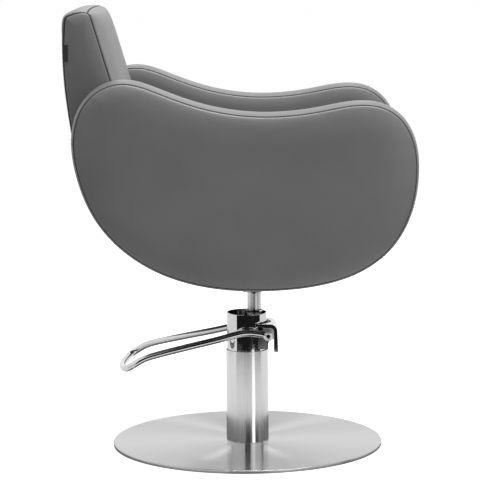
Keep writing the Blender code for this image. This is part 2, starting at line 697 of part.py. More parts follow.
def build_bracket():
    """Bracket on the head: two cheeks on a saddle, with a bush in each cheek."""
    foot = PIVOT_Z - BRACKET_DROP
    saddle_out = HEAD_RADIUS + BRACKET_SADDLE_THICKNESS
    outline = [(0, foot), (saddle_out, foot), (saddle_out, foot + BRACKET_SADDLE_HEIGHT)]
    outline += arc((PIVOT_X, PIVOT_Z), BRACKET_EYE_RADIUS, -30, 90 + math.degrees(LEVER_PRESS), 9)
    # Behind the eye the cheeks lie along the guard's underside when the lever is down
    tangent_x, tangent_z = outline[-1]
    outline += [(0, tangent_z - tangent_x * math.tan(LEVER_PRESS))]
    bracket = plate("pivot_bracket", outline, CHEEK_THICKNESS, -CHEEK_Y, finish="steel")
    width = 2 * CHEEK_Y + CHEEK_THICKNESS
    saddle = box("bracket_saddle", (saddle_out, width, BRACKET_SADDLE_HEIGHT),
                 (saddle_out / 2, 0, foot + BRACKET_SADDLE_HEIGHT / 2))
    join(bracket, plate("bracket_cheek", outline, CHEEK_THICKNESS, CHEEK_Y), saddle)
    bush_radius = PIN_RADIUS + CLEAR + BUSH_WALL
    height = 4 * BRACKET_DROP
    behind = (2 * HEAD_RADIUS, 4 * HEAD_RADIUS, height)
    cut(bracket,
        cylinder("head_shape", HEAD_RADIUS + CLEAR, height, (0, 0, PIVOT_Z), steps=FINE_STEPS),
        box("behind_saddle", behind, (-HEAD_RADIUS + ROD_OFFSET, 0, PIVOT_Z)),
        cylinder("bush_bore", bush_radius + CLEAR, 2 * width, (PIVOT_X, 0, PIVOT_Z), axis="Y"))
    for side, sign in SIDES.items():
        ring(f"pivot_bush_{side}", PIN_RADIUS + CLEAR, bush_radius, CHEEK_THICKNESS,
             (PIVOT_X, sign * CHEEK_Y, PIVOT_Z), axis="Y", steps=SMALL_STEPS, finish="bronze")


def build_lift():
    """Piston that rises in the main cylinder, with its seal."""
    carrier = axis_empty("lift_axis", (ROD_OFFSET, 0, PISTON_LOW))
    radius = CYLINDER_BORE - CLEAR
    groove = radius - SEAL_DEPTH
    groove_low = PISTON_LOW + (PISTON_HEIGHT - SEAL_HEIGHT) / 2 - CLEAR
    groove_high = groove_low + SEAL_HEIGHT + 2 * CLEAR
    hole = STUD_RADIUS + CLEAR
    hole_low = PISTON_TOP - STUD_LENGTH
    profile = [(0, hole_low), (hole, hole_low), (hole, PISTON_TOP), (radius, PISTON_TOP),
               (radius, groove_high), (groove, groove_high), (groove, groove_low), (radius, groove_low),
               (radius, PISTON_LOW), (0, PISTON_LOW)]
    turned("piston_head", profile, (ROD_OFFSET, 0, 0), finish="steel", parent=carrier)
    ring("piston_seal", groove + CLEAR, radius, SEAL_HEIGHT, (ROD_OFFSET, 0, (groove_low + groove_high) / 2),
         finish="rubber", parent=carrier)


def lever_path():
    """Points of the lever's whole bar, from the right eye round the foot rest to the left eye."""
    half = [(PIVOT_X - back, -EYE_Y - out, PIVOT_Z + up) for back, out, up in LEVER_ROUTE]
    other = [(x, -y, z) for x, y, z in reversed(half)]
    return spline_points(half + other, 2 * LEVER_POINTS, closed=False)


def build_lever():
    """Foot lever with its pin, fork and guard, which turn together about the pivot."""
    pivot = axis_empty("lever_axis", (PIVOT_X, 0, PIVOT_Z))
    held = {"parent": pivot}
    lever = tube("pump_lever", [tuple(p) for p in lever_path()], BAR_RADIUS, finish="chrome", **held)
    pin_room = cylinder("pin_room", PIN_RADIUS + CLEAR, 4 * EYE_Y, (PIVOT_X, 0, PIVOT_Z), axis="Y",
                        steps=SMALL_STEPS)
    grub_from = PIN_RADIUS + CLEAR
    grub_length = EYE_RADIUS - grub_from
    for side, sign in SIDES.items():
        place = (PIVOT_X, sign * EYE_Y, PIVOT_Z)
        join(lever, cylinder(f"eye_{side}", EYE_RADIUS, EYE_WIDTH, place, axis="Y"))
        grub_place = (PIVOT_X + grub_from + grub_length / 2, sign * EYE_Y, PIVOT_Z)
        cylinder(f"lever_grub_{side}", GRUB_RADIUS, grub_length - CLEAR, grub_place, axis="X",
                 steps=SMALL_STEPS, finish="dark_steel", **held)
        cut(lever, cylinder(f"grub_room_{side}", GRUB_RADIUS + CLEAR, 2 * grub_length + EYE_RADIUS / 2,
                            (PIVOT_X + EYE_RADIUS, sign * EYE_Y, PIVOT_Z), axis="X", steps=SMALL_STEPS))
    cut(lever, pin_room)
    cylinder("pivot_pin", PIN_RADIUS, 2 * PIN_HALF, (PIVOT_X, 0, PIVOT_Z), axis="Y", steps=SMALL_STEPS,
             finish="dark_steel", **held)
    build_fork(pin_room, held)
    build_guard(pin_room, held)


def build_fork(pin_room, held):
    """Fork inside the head, with two arms past the rod and a bar over the plunger."""
    place = (PIVOT_X, 0, PIVOT_Z)
    fork = cylinder("rocker_fork", FORK_HUB_RADIUS, 2 * FORK_HUB_Y, place, axis="Y", finish="steel", **held)
    half = FORK_ARM_HEIGHT / 2
    outline = [(PLUNGER_X, FORK_BAR_Z - half), (PIVOT_X, PIVOT_Z - half), (PIVOT_X, PIVOT_Z + half),
               (PLUNGER_X, FORK_BAR_Z + half)]
    for side, sign in SIDES.items():
        join(fork, plate(f"fork_arm_{side}", outline, FORK_ARM_THICKNESS, sign * FORK_ARM_Y))
    join(fork, cylinder("fork_bar", FORK_BAR_RADIUS, 2 * FORK_END_Y, (PLUNGER_X, 0, FORK_BAR_Z), axis="Y"))
    cut(fork, pin_room)


def build_guard(pin_room, held):
    """Bent guard plate over the pivot, hung on the pin by two ears."""
    top = PIVOT_Z + GUARD_TOP
    back = PIVOT_X - GUARD_BACK
    front = PIVOT_X + GUARD_FRONT
    low = PIVOT_Z - GUARD_DROP
    corner = (front - GUARD_CORNER, top - GUARD_CORNER)
    outline = [(back, top)]
    outline += arc(corner, GUARD_CORNER, 90, 0, 6)
    outline += [(front + GUARD_FLARE, low), (front + GUARD_FLARE - GUARD_THICKNESS, low)]
    outline += arc(corner, GUARD_CORNER - GUARD_THICKNESS, 0, 90, 6)
    outline += [(back, top - GUARD_THICKNESS)]
    width = 2 * EAR_Y + EAR_THICKNESS
    guard = plate("lever_guard", outline, width, 0, finish="chrome", **held)
    inside = front - GUARD_THICKNESS / 2
    ear = [(PIVOT_X - EYE_RADIUS, top - GUARD_THICKNESS / 2), (PIVOT_X - EYE_RADIUS, PIVOT_Z)]
    ear += arc((PIVOT_X, PIVOT_Z), EYE_RADIUS, 190, 300, 6)
    ear += [(inside, PIVOT_Z - EYE_RADIUS), (inside, corner[1])]
    ear += arc(corner, GUARD_CORNER - GUARD_THICKNESS / 2, 0, 90, 4)
    for side, sign in SIDES.items():
        join(guard, plate(f"guard_ear_{side}", ear, EAR_THICKNESS, sign * EAR_Y))
    # Pressing the lever moves the guard's top back towards the head
    moved = GUARD_TOP * math.sin(LEVER_PRESS)
    sweep = HEAD_RADIUS + GUARD_HEAD_GAP
    cut(guard, cylinder("head_sweep", sweep, 6 * GUARD_TOP, (moved, 0, PIVOT_Z), steps=FINE_STEPS), pin_room)


def build_plunger():
    """Plunger that the fork presses, and the spring that returns it."""
    carrier = axis_empty("plunger_axis", (PLUNGER_X, 0, PLUNGER_TOP))
    profile = [(0, PLUNGER_TOP), (PLUNGER_HEAD_RADIUS, PLUNGER_TOP), (PLUNGER_HEAD_RADIUS, PLUNGER_HEAD_LOW),
               (PLUNGER_RADIUS, PLUNGER_HEAD_LOW), (PLUNGER_RADIUS, PLUNGER_LOW), (0, PLUNGER_LOW)]
    turned("pump_plunger", profile, (PLUNGER_X, 0, 0), finish="steel", parent=carrier)
    low = SPRING_LOW + SPRING_WIRE_RADIUS
    high = SPRING_HIGH - SPRING_WIRE_RADIUS
    count = int(SPRING_TURNS * SPRING_POINTS_PER_TURN) + 1
    coil = []
    for share in np.linspace(0, 1, count):
        angle = share * SPRING_TURNS * 2 * math.pi
        x = PLUNGER_X + SPRING_RADIUS * math.cos(angle)
        coil.append((x, SPRING_RADIUS * math.sin(angle), low + share * (high - low)))
    tube("plunger_spring", coil, SPRING_WIRE_RADIUS, sides=1, finish="steel", parent=carrier)
    print("plunger spring gap to itself, mm:", round(coil_gap(coil) * 1000, 2))


def coil_gap(coil):
    """Least gap between the spring's turns, measured between points a half turn or more apart."""
    points = np.array(coil)
    apart = SPRING_POINTS_PER_TURN // 2
    least = []
    for i in range(len(points) - apart):
        least.append(np.linalg.norm(points[i + apart:] - points[i], axis=1).min())
    return min(least) - 2 * SPRING_WIRE_RADIUS


def build_release():
    """Pin that the plunger pushes at the end of its stroke to let the seat down."""
    carrier = axis_empty("release_axis", (PLUNGER_X, 0, RELEASE_TOP))
    tip = PLUNGER_LOW - PLUNGER_STROKE - PLAY
    flange = RELEASE_LOW - CLEAR
    foot = flange - RELEASE_FLANGE_HEIGHT
    profile = [(0, tip), (RELEASE_PIN_RADIUS, tip), (RELEASE_PIN_RADIUS, flange),
               (RELEASE_FLANGE_RADIUS, flange), (RELEASE_FLANGE_RADIUS, foot), (0, foot)]
    turned("release_pin", profile, (PLUNGER_X, 0, 0), steps=SMALL_STEPS, finish="steel", parent=carrier)


def build_socket(seat):
    """Rod, socket on its top end and the two set screws."""
    stud_low = PISTON_TOP + CLEAR - STUD_LENGTH + CLEAR
    shoulder = PISTON_TOP + CLEAR
    profile = [(0, ROD_TOP), (ROD_RADIUS - ROD_CHAMFER, ROD_TOP), (ROD_RADIUS, ROD_TOP - ROD_CHAMFER),
               (ROD_RADIUS, shoulder), (STUD_RADIUS, shoulder), (STUD_RADIUS, stud_low), (0, stud_low)]
    turned("piston_rod", profile, (ROD_OFFSET, 0, 0), finish="chrome", parent=seat)
    bore = ROD_RADIUS + CLEAR
    radius = bore + SOCKET_WALL
    flange_low = SOCKET_TOP - SOCKET_FLANGE_THICKNESS
    profile = [(0, SOCKET_TOP), (SOCKET_FLANGE_RADIUS, SOCKET_TOP), (SOCKET_FLANGE_RADIUS, flange_low),
               (radius, flange_low), (radius, SOCKET_LOW), (bore, SOCKET_LOW), (bore, flange_low),
               (0, flange_low)]
    socket = turned("seat_socket", profile, (ROD_OFFSET, 0, 0), finish="steel", parent=seat)
    height = SOCKET_LOW + SCREW_RISE
    tip = ROD_RADIUS + CLEAR
    seat_face = radius + CLEAR
    outer = seat_face + SCREW_HEAD_HEIGHT
    profile = [(0, outer), (SCREW_HEAD_RADIUS, outer), (SCREW_HEAD_RADIUS, seat_face),
               (SCREW_RADIUS, seat_face), (SCREW_RADIUS, tip), (0, tip)]
    middle = (ROD_OFFSET, 0, height)
    right = ("socket_screw_right", (math.pi / 2, 0, 0), (ROD_OFFSET, -radius, height))
    rear = ("socket_screw_rear", (0, -math.pi / 2, 0), (ROD_OFFSET - radius, 0, height))
    for name, turn, wall in (right, rear):
        screw = turned(name, profile, middle, steps=SMALL_STEPS, finish="dark_steel", parent=seat)
        screw.rotation_euler = turn
        room = cylinder(f"{name}_room", SCREW_RADIUS + CLEAR, radius, wall, steps=SMALL_STEPS)
        room.rotation_euler = turn
        cut(socket, room)


def build_frame(seat):
    """Steel frame: mount plate, two bearers with end plates, and the bolts."""
    middle = (ROD_OFFSET, 0, MOUNT_LOW + MOUNT_THICKNESS / 2)
    mount = box("seat_mount_plate", (MOUNT_LENGTH, MOUNT_WIDTH, MOUNT_THICKNESS), middle, corner=MOUNT_CORNER,
                finish="dark_steel", parent=seat)
    bolt_tip = BOARD_LOW + BOLT_GRIP
    head_high = MOUNT_LOW - CLEAR
    head_low = head_high - BOLT_HEAD_HEIGHT
    rooms = []
    number = 0
    for x in BEARER_X:
        for y in (-BOLT_SPREAD_Y / 2, BOLT_SPREAD_Y / 2):
            number += 1
            profile = [(0, bolt_tip), (BOLT_RADIUS, bolt_tip), (BOLT_RADIUS, head_high),
                       (BOLT_HEAD_RADIUS, head_high), (BOLT_HEAD_RADIUS, head_low), (0, head_low)]
            turned(f"mount_bolt_{number}", profile, (x, y, 0), steps=SMALL_STEPS, finish="steel", parent=seat)
            room_high = bolt_tip + CLEAR
            room = cylinder(f"mount_bolt_room_{number}", BOLT_RADIUS + CLEAR, room_high - head_low,
                            (x, y, (room_high + head_low) / 2), steps=SMALL_STEPS)
            rooms.append(room)
    cut(mount, *rooms)
    for name, x in zip(("rear", "front"), BEARER_X):
        build_bearer(name, x, rooms, seat)
    return rooms


def build_bearer(name, x, rooms, seat):
    """One square tube across the chair, with a plate welded on each end and bolts to the side panels."""
    height = BEARER_LOW + BEARER_HEIGHT / 2
    length = 2 * END_PLATE_Y
    bearer = box(f"seat_bearer_{name}", (BEARER_WIDTH, length, BEARER_HEIGHT), (x, 0, height),
                 finish="dark_steel", parent=seat)
    hollow = (BEARER_WIDTH - 2 * BEARER_WALL, length - 2 * END_PLATE_THICKNESS,
              BEARER_HEIGHT - 2 * BEARER_WALL)
    cut(bearer, box(f"bearer_hollow_{name}", hollow, (x, 0, height)), *rooms)
    for side, sign in SIDES.items():
        end = box(f"bearer_end_{name}_{side}", (END_PLATE_LENGTH, END_PLATE_THICKNESS, END_PLATE_HEIGHT),
                  (x, sign * END_PLATE_Y, BEARER_LOW + END_PLATE_HEIGHT / 2))
        join(bearer, end)
        head_out = END_PLATE_Y - END_PLATE_THICKNESS / 2 - CLEAR
        head_in = head_out - PANEL_BOLT_HEAD_HEIGHT
        tip = CORE_Y + CORE_THICKNESS / 2
        profile = [(0, tip), (PANEL_BOLT_RADIUS, tip), (PANEL_BOLT_RADIUS, head_out),
                   (PANEL_BOLT_HEAD_RADIUS, head_out), (PANEL_BOLT_HEAD_RADIUS, head_in), (0, head_in)]
        bolt = turned(f"panel_bolt_{side}_{name}", profile, (x, 0, PANEL_BOLT_Z), steps=SMALL_STEPS,
                      finish="steel", parent=seat)
        bolt.rotation_euler = (-sign * math.pi / 2, 0, 0)
        cut(bearer, panel_bolt_room(f"bearer_{name}_{side}", x, sign))


def panel_bolt_room(label, x, sign):
    """Hole for a panel bolt, from inside the end plate to past the core."""
    start = END_PLATE_Y - END_PLATE_THICKNESS
    end = CORE_Y + CORE_THICKNESS / 2 + CLEAR
    return cylinder(f"panel_bolt_room_{label}", PANEL_BOLT_RADIUS + CLEAR, end - start,
                    (x, sign * (start + end) / 2, PANEL_BOLT_Z), axis="Y", steps=SMALL_STEPS)


def build_seat(seat, bolt_rooms):
    """Plywood board and the crowned seat cushion that wraps it."""
    size = (BOARD_FRONT - BOARD_BACK, 2 * BOARD_HALF_WIDTH, BOARD_THICKNESS)
    board = box("seat_board", size, ((BOARD_FRONT + BOARD_BACK) / 2, 0, BOARD_LOW + BOARD_THICKNESS / 2),
                corner=SEAT_CORNER / 2, finish="plywood", parent=seat)
    cut(board, *bolt_rooms)
    wide = PANEL_INNER - SEAT_SIDE_GAP
    foot = PANEL_INNER - SEAT_TUCK
    widths = [foot, foot, wide - SEAT_SIDE_GAP / 2, wide, wide - SEAT_SIDE_GAP]
    rings = []
    for (front, share), half in zip(SEAT_NOSE, widths):
        height = SEAT_LOW + share * SEAT_THICKNESS
        rings.append(seat_ring(front, back_face(height) + SEAT_BACK_GAP, half, height, 0.0))
    front = SEAT_NOSE[-1][0]
    top = SEAT_LOW + SEAT_THICKNESS
    back = back_face(top) + SEAT_BACK_GAP
    for inward, rise in SEAT_DOME:
        rings.append(seat_ring(front, back, widths[-1], top + rise * SEAT_CROWN, inward))
    cushion = loft("seat_cushion", rings, finish="leatherette", parent=seat)
    room = (size[0] + 2 * CLEAR, size[1] + 2 * CLEAR, 2 * (BOARD_THICKNESS + CLEAR))
    cut(cushion, box("seat_board_room", room, ((BOARD_FRONT + BOARD_BACK) / 2, 0, BOARD_LOW)))


def seat_ring(front, back, half, height, inward):
    """Rounded rectangle of the seat cushion at one height, drawn in by a distance."""
    corner = SEAT_CORNER
    points = []
    places = ((front, half, 0), (back, half, 90), (back, -half, 180), (front, -half, 270))
    for x, y, turn in places:
        centre = (x - math.copysign(corner + inward, x), y - math.copysign(corner + inward, y))
        points += [(px, py, height) for px, py in arc(centre, corner, turn, turn + 90, 6)]
        points += side_points(points[-1], turn, front, back, half, corner + inward, height)
    return points


def side_points(corner_end, turn, front, back, half, inset_by, height):
    """Points along one straight side of the seat cushion, so that its faces stay short."""
    ends = {0: (back + inset_by, corner_end[1]), 90: (corner_end[0], -half + inset_by),
            180: (front - inset_by, corner_end[1]), 270: (corner_end[0], half - inset_by)}
    end = ends[turn]
    points = []
    for share in (0.25, 0.5, 0.75):
        x = corner_end[0] + share * (end[0] - corner_end[0])
        y = corner_end[1] + share * (end[1] - corner_end[1])
        points.append((x, y, height))
    return points


def back_face(height):
    """X of the back's front face at a height."""
    return BACK_FOOT[0] - BACK_LEAN * (height - FRAME_Z - BACK_FOOT[1])


def build_panels(seat):
    """Padded side panels with a crowned band, each round a plywood core."""
    crest = spline_points(PANEL_OUTLINE, PANEL_POINTS, closed=True) + np.array([0, FRAME_Z])
    core_line = spline_points(PANEL_OUTLINE, CORE_POINTS, closed=True) + np.array([0, FRAME_Z])
    for side, sign in SIDES.items():
        # Depth from the inner face, and how far the loop lies inside the crest
        stations = [(0.0, BAND_CROWN + FACE_ROLL / 2), (INNER_EDGE, BAND_CROWN)]
        for share in BAND_STEPS:
            stations.append((share * PANEL_THICKNESS, BAND_CROWN * (2 * share - 1) ** 2))
        stations.append((PANEL_THICKNESS, BAND_CROWN))
        for share, rise in FACE_STEPS:
            stations.append((PANEL_THICKNESS + rise * FACE_CROWN, BAND_CROWN + share * FACE_ROLL))
        rings = [at_y(inset(crest, inward), sign * (PANEL_INNER + depth)) for depth, inward in stations]
        panel = loft(f"{side}_side_panel", rings, finish="leatherette", parent=seat)
        core_loop = inset(core_line, CORE_INSET)
        core = plate(f"{side}_panel_core", [tuple(p) for p in core_loop], CORE_THICKNESS, sign * CORE_Y,
                     finish="plywood", parent=seat)
        room_loop = inset(core_loop, -CLEAR)
        room_depth = CORE_THICKNESS + 2 * CLEAR
        cut(panel, plate(f"{side}_core_room", [tuple(p) for p in room_loop], room_depth, sign * CORE_Y))
        for name, x in zip(("rear", "front"), BEARER_X):
            hole = panel_bolt_room(f"{side}_{name}", x, sign)
            cut(panel, hole)
            cut(core, hole)


def back_profile():
    """Loop of the back's side seam, and how far each point bulges at the middle of the back."""
    top = FRAME_Z + BACK_TOP
    foot = FRAME_Z + BACK_FOOT[1]
    rear = spline_points([(x, FRAME_Z + z) for x, z in BACK_REAR], BACK_REAR_POINTS, closed=False)
    count = int((top - foot) / BACK_STEP)
    front = [(back_face(z), z) for z in np.linspace(foot, top, count)]
    edge = [(x, FRAME_Z + z) for x, z in BACK_TOP_EDGE]
    loop = np.array(front + edge + [tuple(p) for p in rear])
    bulge = [front_bulge(z - FRAME_Z) for x, z in front]
    bulge += [BACK_TOP_CROWN] * len(edge)
    bulge += [rear_bulge(z - FRAME_Z) for x, z in rear]
    return loop, np.array(bulge)


def front_bulge(height):
    """How far the front swells at the middle of the back, at a height above the seat frame."""
    share = (height - BACK_CROWN_START) / (BACK_CROWN_FULL - BACK_CROWN_START)
    share = min(max(share, 0.0), 1.0)
    rise = share * share * (3 - 2 * share)
    fade = min(1.0, max(0.0, BACK_TOP - height) / BACK_TOP_FADE) ** 0.5
    return rise * (BACK_TOP_CROWN + (BACK_CROWN - BACK_TOP_CROWN) * fade)


def rear_bulge(height):
    """How far the rear swells at the middle of the back, at a height above the seat frame."""
    share = (height - BACK_CROWN_START) / BACK_CROWN_FULL
    return BACK_REAR_CROWN * min(max(share, 0.0), 1.0)


def build_back(seat):
    """Padded back with its plywood core and the two steel bars that carry it on the rear bearer."""
    loop, bulge = back_profile()
    side_face = inset(loop, BACK_SIDE_INSET)
    rings = [at_y(side_face, -BACK_HALF_WIDTH - BACK_SIDE_CROWN)]
    for share in BACK_STATIONS:
        swell = (1 - share * share) ** BACK_SWELL
        rings.append(at_y(inset(loop, -swell * bulge), share * BACK_HALF_WIDTH))
    rings.append(at_y(side_face, BACK_HALF_WIDTH + BACK_SIDE_CROWN))
    pad = loft("backrest", rings, finish="leatherette", parent=seat)

    # The core lies parallel to the front face, and the bars lie on the front of the core
    slope = math.hypot(1, BACK_LEAN)
    depth = CORE_BOARD_DEPTH * slope
    thick = CORE_BOARD_THICKNESS * slope
    bar_thick = BACK_BAR_THICKNESS * slope
    gap = CLEAR * slope
    low = FRAME_Z + CORE_BOARD_LOW
    high = FRAME_Z + CORE_BOARD_HIGH
    core_outline = leaning(low, high, depth, thick)
    plate("backrest_core", core_outline, 2 * CORE_BOARD_HALF_WIDTH, 0, finish="plywood", parent=seat)
    below = FRAME_Z
    room = leaning(below, high + CLEAR, depth - gap, thick + 2 * gap)
    cut(pad, plate("back_core_room", room, 2 * (CORE_BOARD_HALF_WIDTH + CLEAR), 0))
    bar_depth = depth - gap - bar_thick
    bar_high = FRAME_Z + BACK_BAR_HIGH
    outline = bar_outline(bar_depth, bar_thick, bar_high)
    room = leaning(below, bar_high + CLEAR, bar_depth - gap, bar_thick + 2 * gap)
    for side, sign in SIDES.items():
        y = sign * BACK_BAR_SPREAD / 2
        plate(f"back_bar_{side}", outline, BACK_BAR_WIDTH, y, finish="dark_steel", parent=seat)
        cut(pad, plate(f"back_bar_room_{side}", room, BACK_BAR_WIDTH + 2 * CLEAR, y))
    build_tag(loop, seat)


def leaning(low, high, depth, thick):
    """Outline of a board parallel to the back's front face, a level depth behind it."""
    return [(back_face(low) - depth - thick, low), (back_face(low) - depth, low),
            (back_face(high) - depth, high), (back_face(high) - depth - thick, high)]


def bar_outline(depth, thick, high):
    """Outline of a bent bar: from the rear bearer under the seat board, then up along the back's core."""
    under = BOARD_LOW - CLEAR
    foot_low = under - BACK_BAR_THICKNESS
    lean = math.atan(BACK_LEAN)
    turn = math.degrees(lean)
    bend_z = foot_low + BACK_BAR_BEND
    bend_end = bend_z - BACK_BAR_BEND * math.sin(lean)
    bend_x = back_face(bend_end) - depth - thick + BACK_BAR_BEND * math.cos(lean)
    centre = (bend_x, bend_z)
    outer = arc(centre, BACK_BAR_BEND, 270, 180 + turn, 5)
    inner = arc(centre, BACK_BAR_BEND - BACK_BAR_THICKNESS, 180 + turn, 270, 5)
    heel = BEARER_X[0] - BEARER_WIDTH / 2 - CLEAR
    front = back_face(high) - depth
    return [(heel, foot_low)] + outer + [(front - thick, high), (front, high)] + inner + [(heel, under)]


def build_tag(loop, seat):
    """Plain tag that lies on the side of the back beside its rear seam, on the sitter's right."""
    top = FRAME_Z + BACK_REAR[0][1] - TAG_DROP
    low = top - TAG_LENGTH
    rear = loop[:-BACK_REAR_POINTS - 1:-1]
    back = [np.interp(z, rear[:, 1], rear[:, 0]) + TAG_INSET for z in (top, low)]
    outline = [(back[0], top), (back[1], low), (back[1] + TAG_WIDTH, low), (back[0] + TAG_WIDTH, top)]
    side = -BACK_HALF_WIDTH - BACK_SIDE_CROWN - CLEAR - TAG_THICKNESS / 2
    plate("seam_tag", outline, TAG_THICKNESS, side, finish="tape", parent=seat)


def build_chair():
    """All the pieces, from the floor up."""
    base_rooms = build_base()
    build_column(base_rooms)
    build_bracket()
    build_lift()
    build_lever()
    build_plunger()
    build_release()
    seat = axis_empty("swivel_axis", (ROD_OFFSET, 0, FRAME_Z))
    build_socket(seat)
    bolt_rooms = build_frame(seat)
    build_seat(seat, bolt_rooms)
    build_panels(seat)
    build_back(seat)
    bpy.context.view_layer.update()


build_chair()
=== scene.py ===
"""Looks of the hairdressing chair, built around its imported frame.

Metres, +Z up, +X the front of the chair, +Y the sitter's left. Places and sizes come from the frame. The
named values below are what covers, seams, finishes and light add to it.
"""
import json
import math

import bmesh
import bpy
import numpy as np
from mathutils import Matrix, Vector
from mathutils.geometry import delaunay_2d_cdt
from mathutils.kdtree import KDTree

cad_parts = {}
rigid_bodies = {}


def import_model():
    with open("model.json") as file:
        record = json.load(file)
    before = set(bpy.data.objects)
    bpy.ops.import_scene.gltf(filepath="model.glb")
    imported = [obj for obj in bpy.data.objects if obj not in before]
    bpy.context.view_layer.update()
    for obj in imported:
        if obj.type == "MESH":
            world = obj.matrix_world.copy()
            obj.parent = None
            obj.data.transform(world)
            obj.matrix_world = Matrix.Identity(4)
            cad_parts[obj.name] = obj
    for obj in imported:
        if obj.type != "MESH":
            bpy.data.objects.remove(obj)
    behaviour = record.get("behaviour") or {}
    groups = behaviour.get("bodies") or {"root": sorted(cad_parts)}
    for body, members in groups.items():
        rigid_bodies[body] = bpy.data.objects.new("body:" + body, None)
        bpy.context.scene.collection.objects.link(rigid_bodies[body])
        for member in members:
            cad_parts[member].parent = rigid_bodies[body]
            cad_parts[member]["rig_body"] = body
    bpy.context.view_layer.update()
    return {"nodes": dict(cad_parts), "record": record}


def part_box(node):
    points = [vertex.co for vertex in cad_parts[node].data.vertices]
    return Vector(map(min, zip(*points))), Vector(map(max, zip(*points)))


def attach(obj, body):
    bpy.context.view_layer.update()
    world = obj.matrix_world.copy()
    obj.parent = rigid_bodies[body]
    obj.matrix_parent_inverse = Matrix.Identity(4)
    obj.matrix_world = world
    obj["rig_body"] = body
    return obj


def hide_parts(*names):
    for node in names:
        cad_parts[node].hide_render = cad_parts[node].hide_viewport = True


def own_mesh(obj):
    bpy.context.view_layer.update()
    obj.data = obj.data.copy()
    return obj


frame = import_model()
NODES = frame["nodes"]
SLOTS = {row["node"]: row["material_slot"] for row in frame["record"]["subparts"]}
SIDES = {"right": -1, "left": 1}
ORIGIN = (0.0, 0.0, 0.0)

# Camera at the photograph's viewing angle
CAMERA_PLACE = (-0.0133, -4.6, 1.0647)
CAMERA_DOWN = math.radians(7.693)
CAMERA_ROLL = math.radians(-0.451)
CAMERA_SIGHT = 200.0
FOCAL_PIXELS = 2165.2
PHOTO_PIXELS = 480
SENSOR_MM = 36.0

# Fineness and tolerances of meshes
WELD = 0.000008
SAME_LEVEL = 0.0002  # vertices of a node that lie at one level
SAME_PLANE = 0.00001  # vertices on a turned node's profile
SAME_POINT = 1e-7
AT_SEAM = 0.0001
GRID_SPACING = 0.011  # triangles in the middle of a cover
GRID_RINGS = ((0.42, 2), (0.60, 3), (0.80, 4), (1.0, 5))  # shares of a roll, and which of its points stay
EDGE_SKIP = 4  # points of an edge that are enough to tell what is inside it
FLAT = math.radians(1)
CREASE = math.radians(30)
CUT_CREASE = math.radians(35)
SHADED_CREASE = math.radians(50)

# Form of the solids in the frame that the covers start from
CAD_SIDE_CROWN = 0.0045  # outer faces of the panels and the back past their seams

# Seams of the covers
SEAM_DEPTH = 0.0015
SEAM_REACH = 0.0016  # how far beside a seam its groove reaches
SEAM_STEPS = (0.0, 0.0010, 0.0016, 0.0023, 0.0033, 0.0045, 0.0065, 0.0095)  # distances from a seam
PUCKER_HEIGHT = 0.00055
PUCKER_LENGTH = 0.0072  # between two puckers along a seam
PUCKER_REACH = 0.0075  # how far beside a seam the puckers reach
PUCKER_START = 0.0012  # how far beside a seam they start
PUCKER_MIX = (0.81, 1.0, 1.23)  # waves of these shares of the number of puckers
PUCKER_STRENGTH = 0.55  # mean strength round a seam, which comes and goes in groups
PUCKER_GROUPS = 7

# Side panels
PANEL_POINTS = 1000  # round the outline
BAND_CROWN = 0.006  # crest of the band past its seams
BAND_ROUND = 2.2  # power of the band's crown
BAND_ROWS = 15
BAND_EVEN = (0.18, 0.82)  # shares of the band's width between which its rows are even
FACE_CROWN = 0.0090  # outer face past its seam
FACE_REACH = 0.040  # width of the roll inside the seam on the front lobe
FACE_REACHES = ((-0.36, 0.110), (-0.30, 0.029), (0.12, 0.031), (0.25, FACE_REACH))  # along X from the rear
FACE_ROUND = 2.5  # power of the roll
INNER_CROWN = 0.0062  # inner face past its seam, above the seat
INNER_REACH = 0.028
INNER_FADE = (0.010, 0.080)  # heights above the seat over which the inner crown grows
BAND_JOINS = ((-0.349, 0.683), (0.281, 0.441))  # where lengths of the band are sewn together, X and Z
JOIN_RIDGE = 0.0009
JOIN_WIDTH = 0.0045

# Back
BACK_POINTS = 760  # round the side seam
BACK_CORNER = math.radians(40)  # turns of the profile that are corners
BACK_CORNER_SOFTNESS = 0.0055
BACK_SWELL_SOFTNESS = 0.010
BACK_FRONT_CROWN = 0.0165  # middle of the front past the side seams
BACK_CROWN_RISE = 0.14  # height above the seat over which the front crown grows
BACK_TOP_CROWNS = (-0.002, 0.007)  # top, at its front and its rear edge
BACK_REAR_CROWNS = (0.0022, 0.0090)  # rear, low down and at the top
BACK_REAR_FADE = 0.12  # height below the top over which the rear crown grows
FRONT_FACING = (0.0, 0.9)  # how squarely a place faces the front for the crown to start and to be whole
REAR_FACING = (0.1, 0.8)
TOP_FACING = (0.3, 0.9)
BACK_ROLL = 0.0020  # roll of the cover right beside its side seams
BACK_ROLL_REACH = 0.009
BACK_SWELL = 0.62  # power of the front's swell across the width
BACK_TOP_SWELL = 0.30  # power of the top's and the rear's swell
TOP_SEAM_SLANT = 0.5  # slope of the line that touches the profile at the top seam
BACK_SEAM_SLIDE = 0.007  # how far back the top seam lies at the middle
BACK_SLIDE_REACH = 0.040
BACK_ROWS = 23
BACK_EVEN = (0.045, 0.955)  # shares of the width between which the rows are even
GUSSET_CROWN = 0.0060
GUSSET_REACH = 0.028

# Tag beside the back's rear seam
TAG_SEAM = -0.3  # the seam's points behind this X
TAG_ROWS = 14
TAG_COLUMNS = 5
TAG_START = 0.0022  # from the seam
TAG_LIFT = 0.0006  # off the gusset
TAG_WIDTH = 0.93  # shares of the frame's tag
TAG_THICKNESS = 0.6

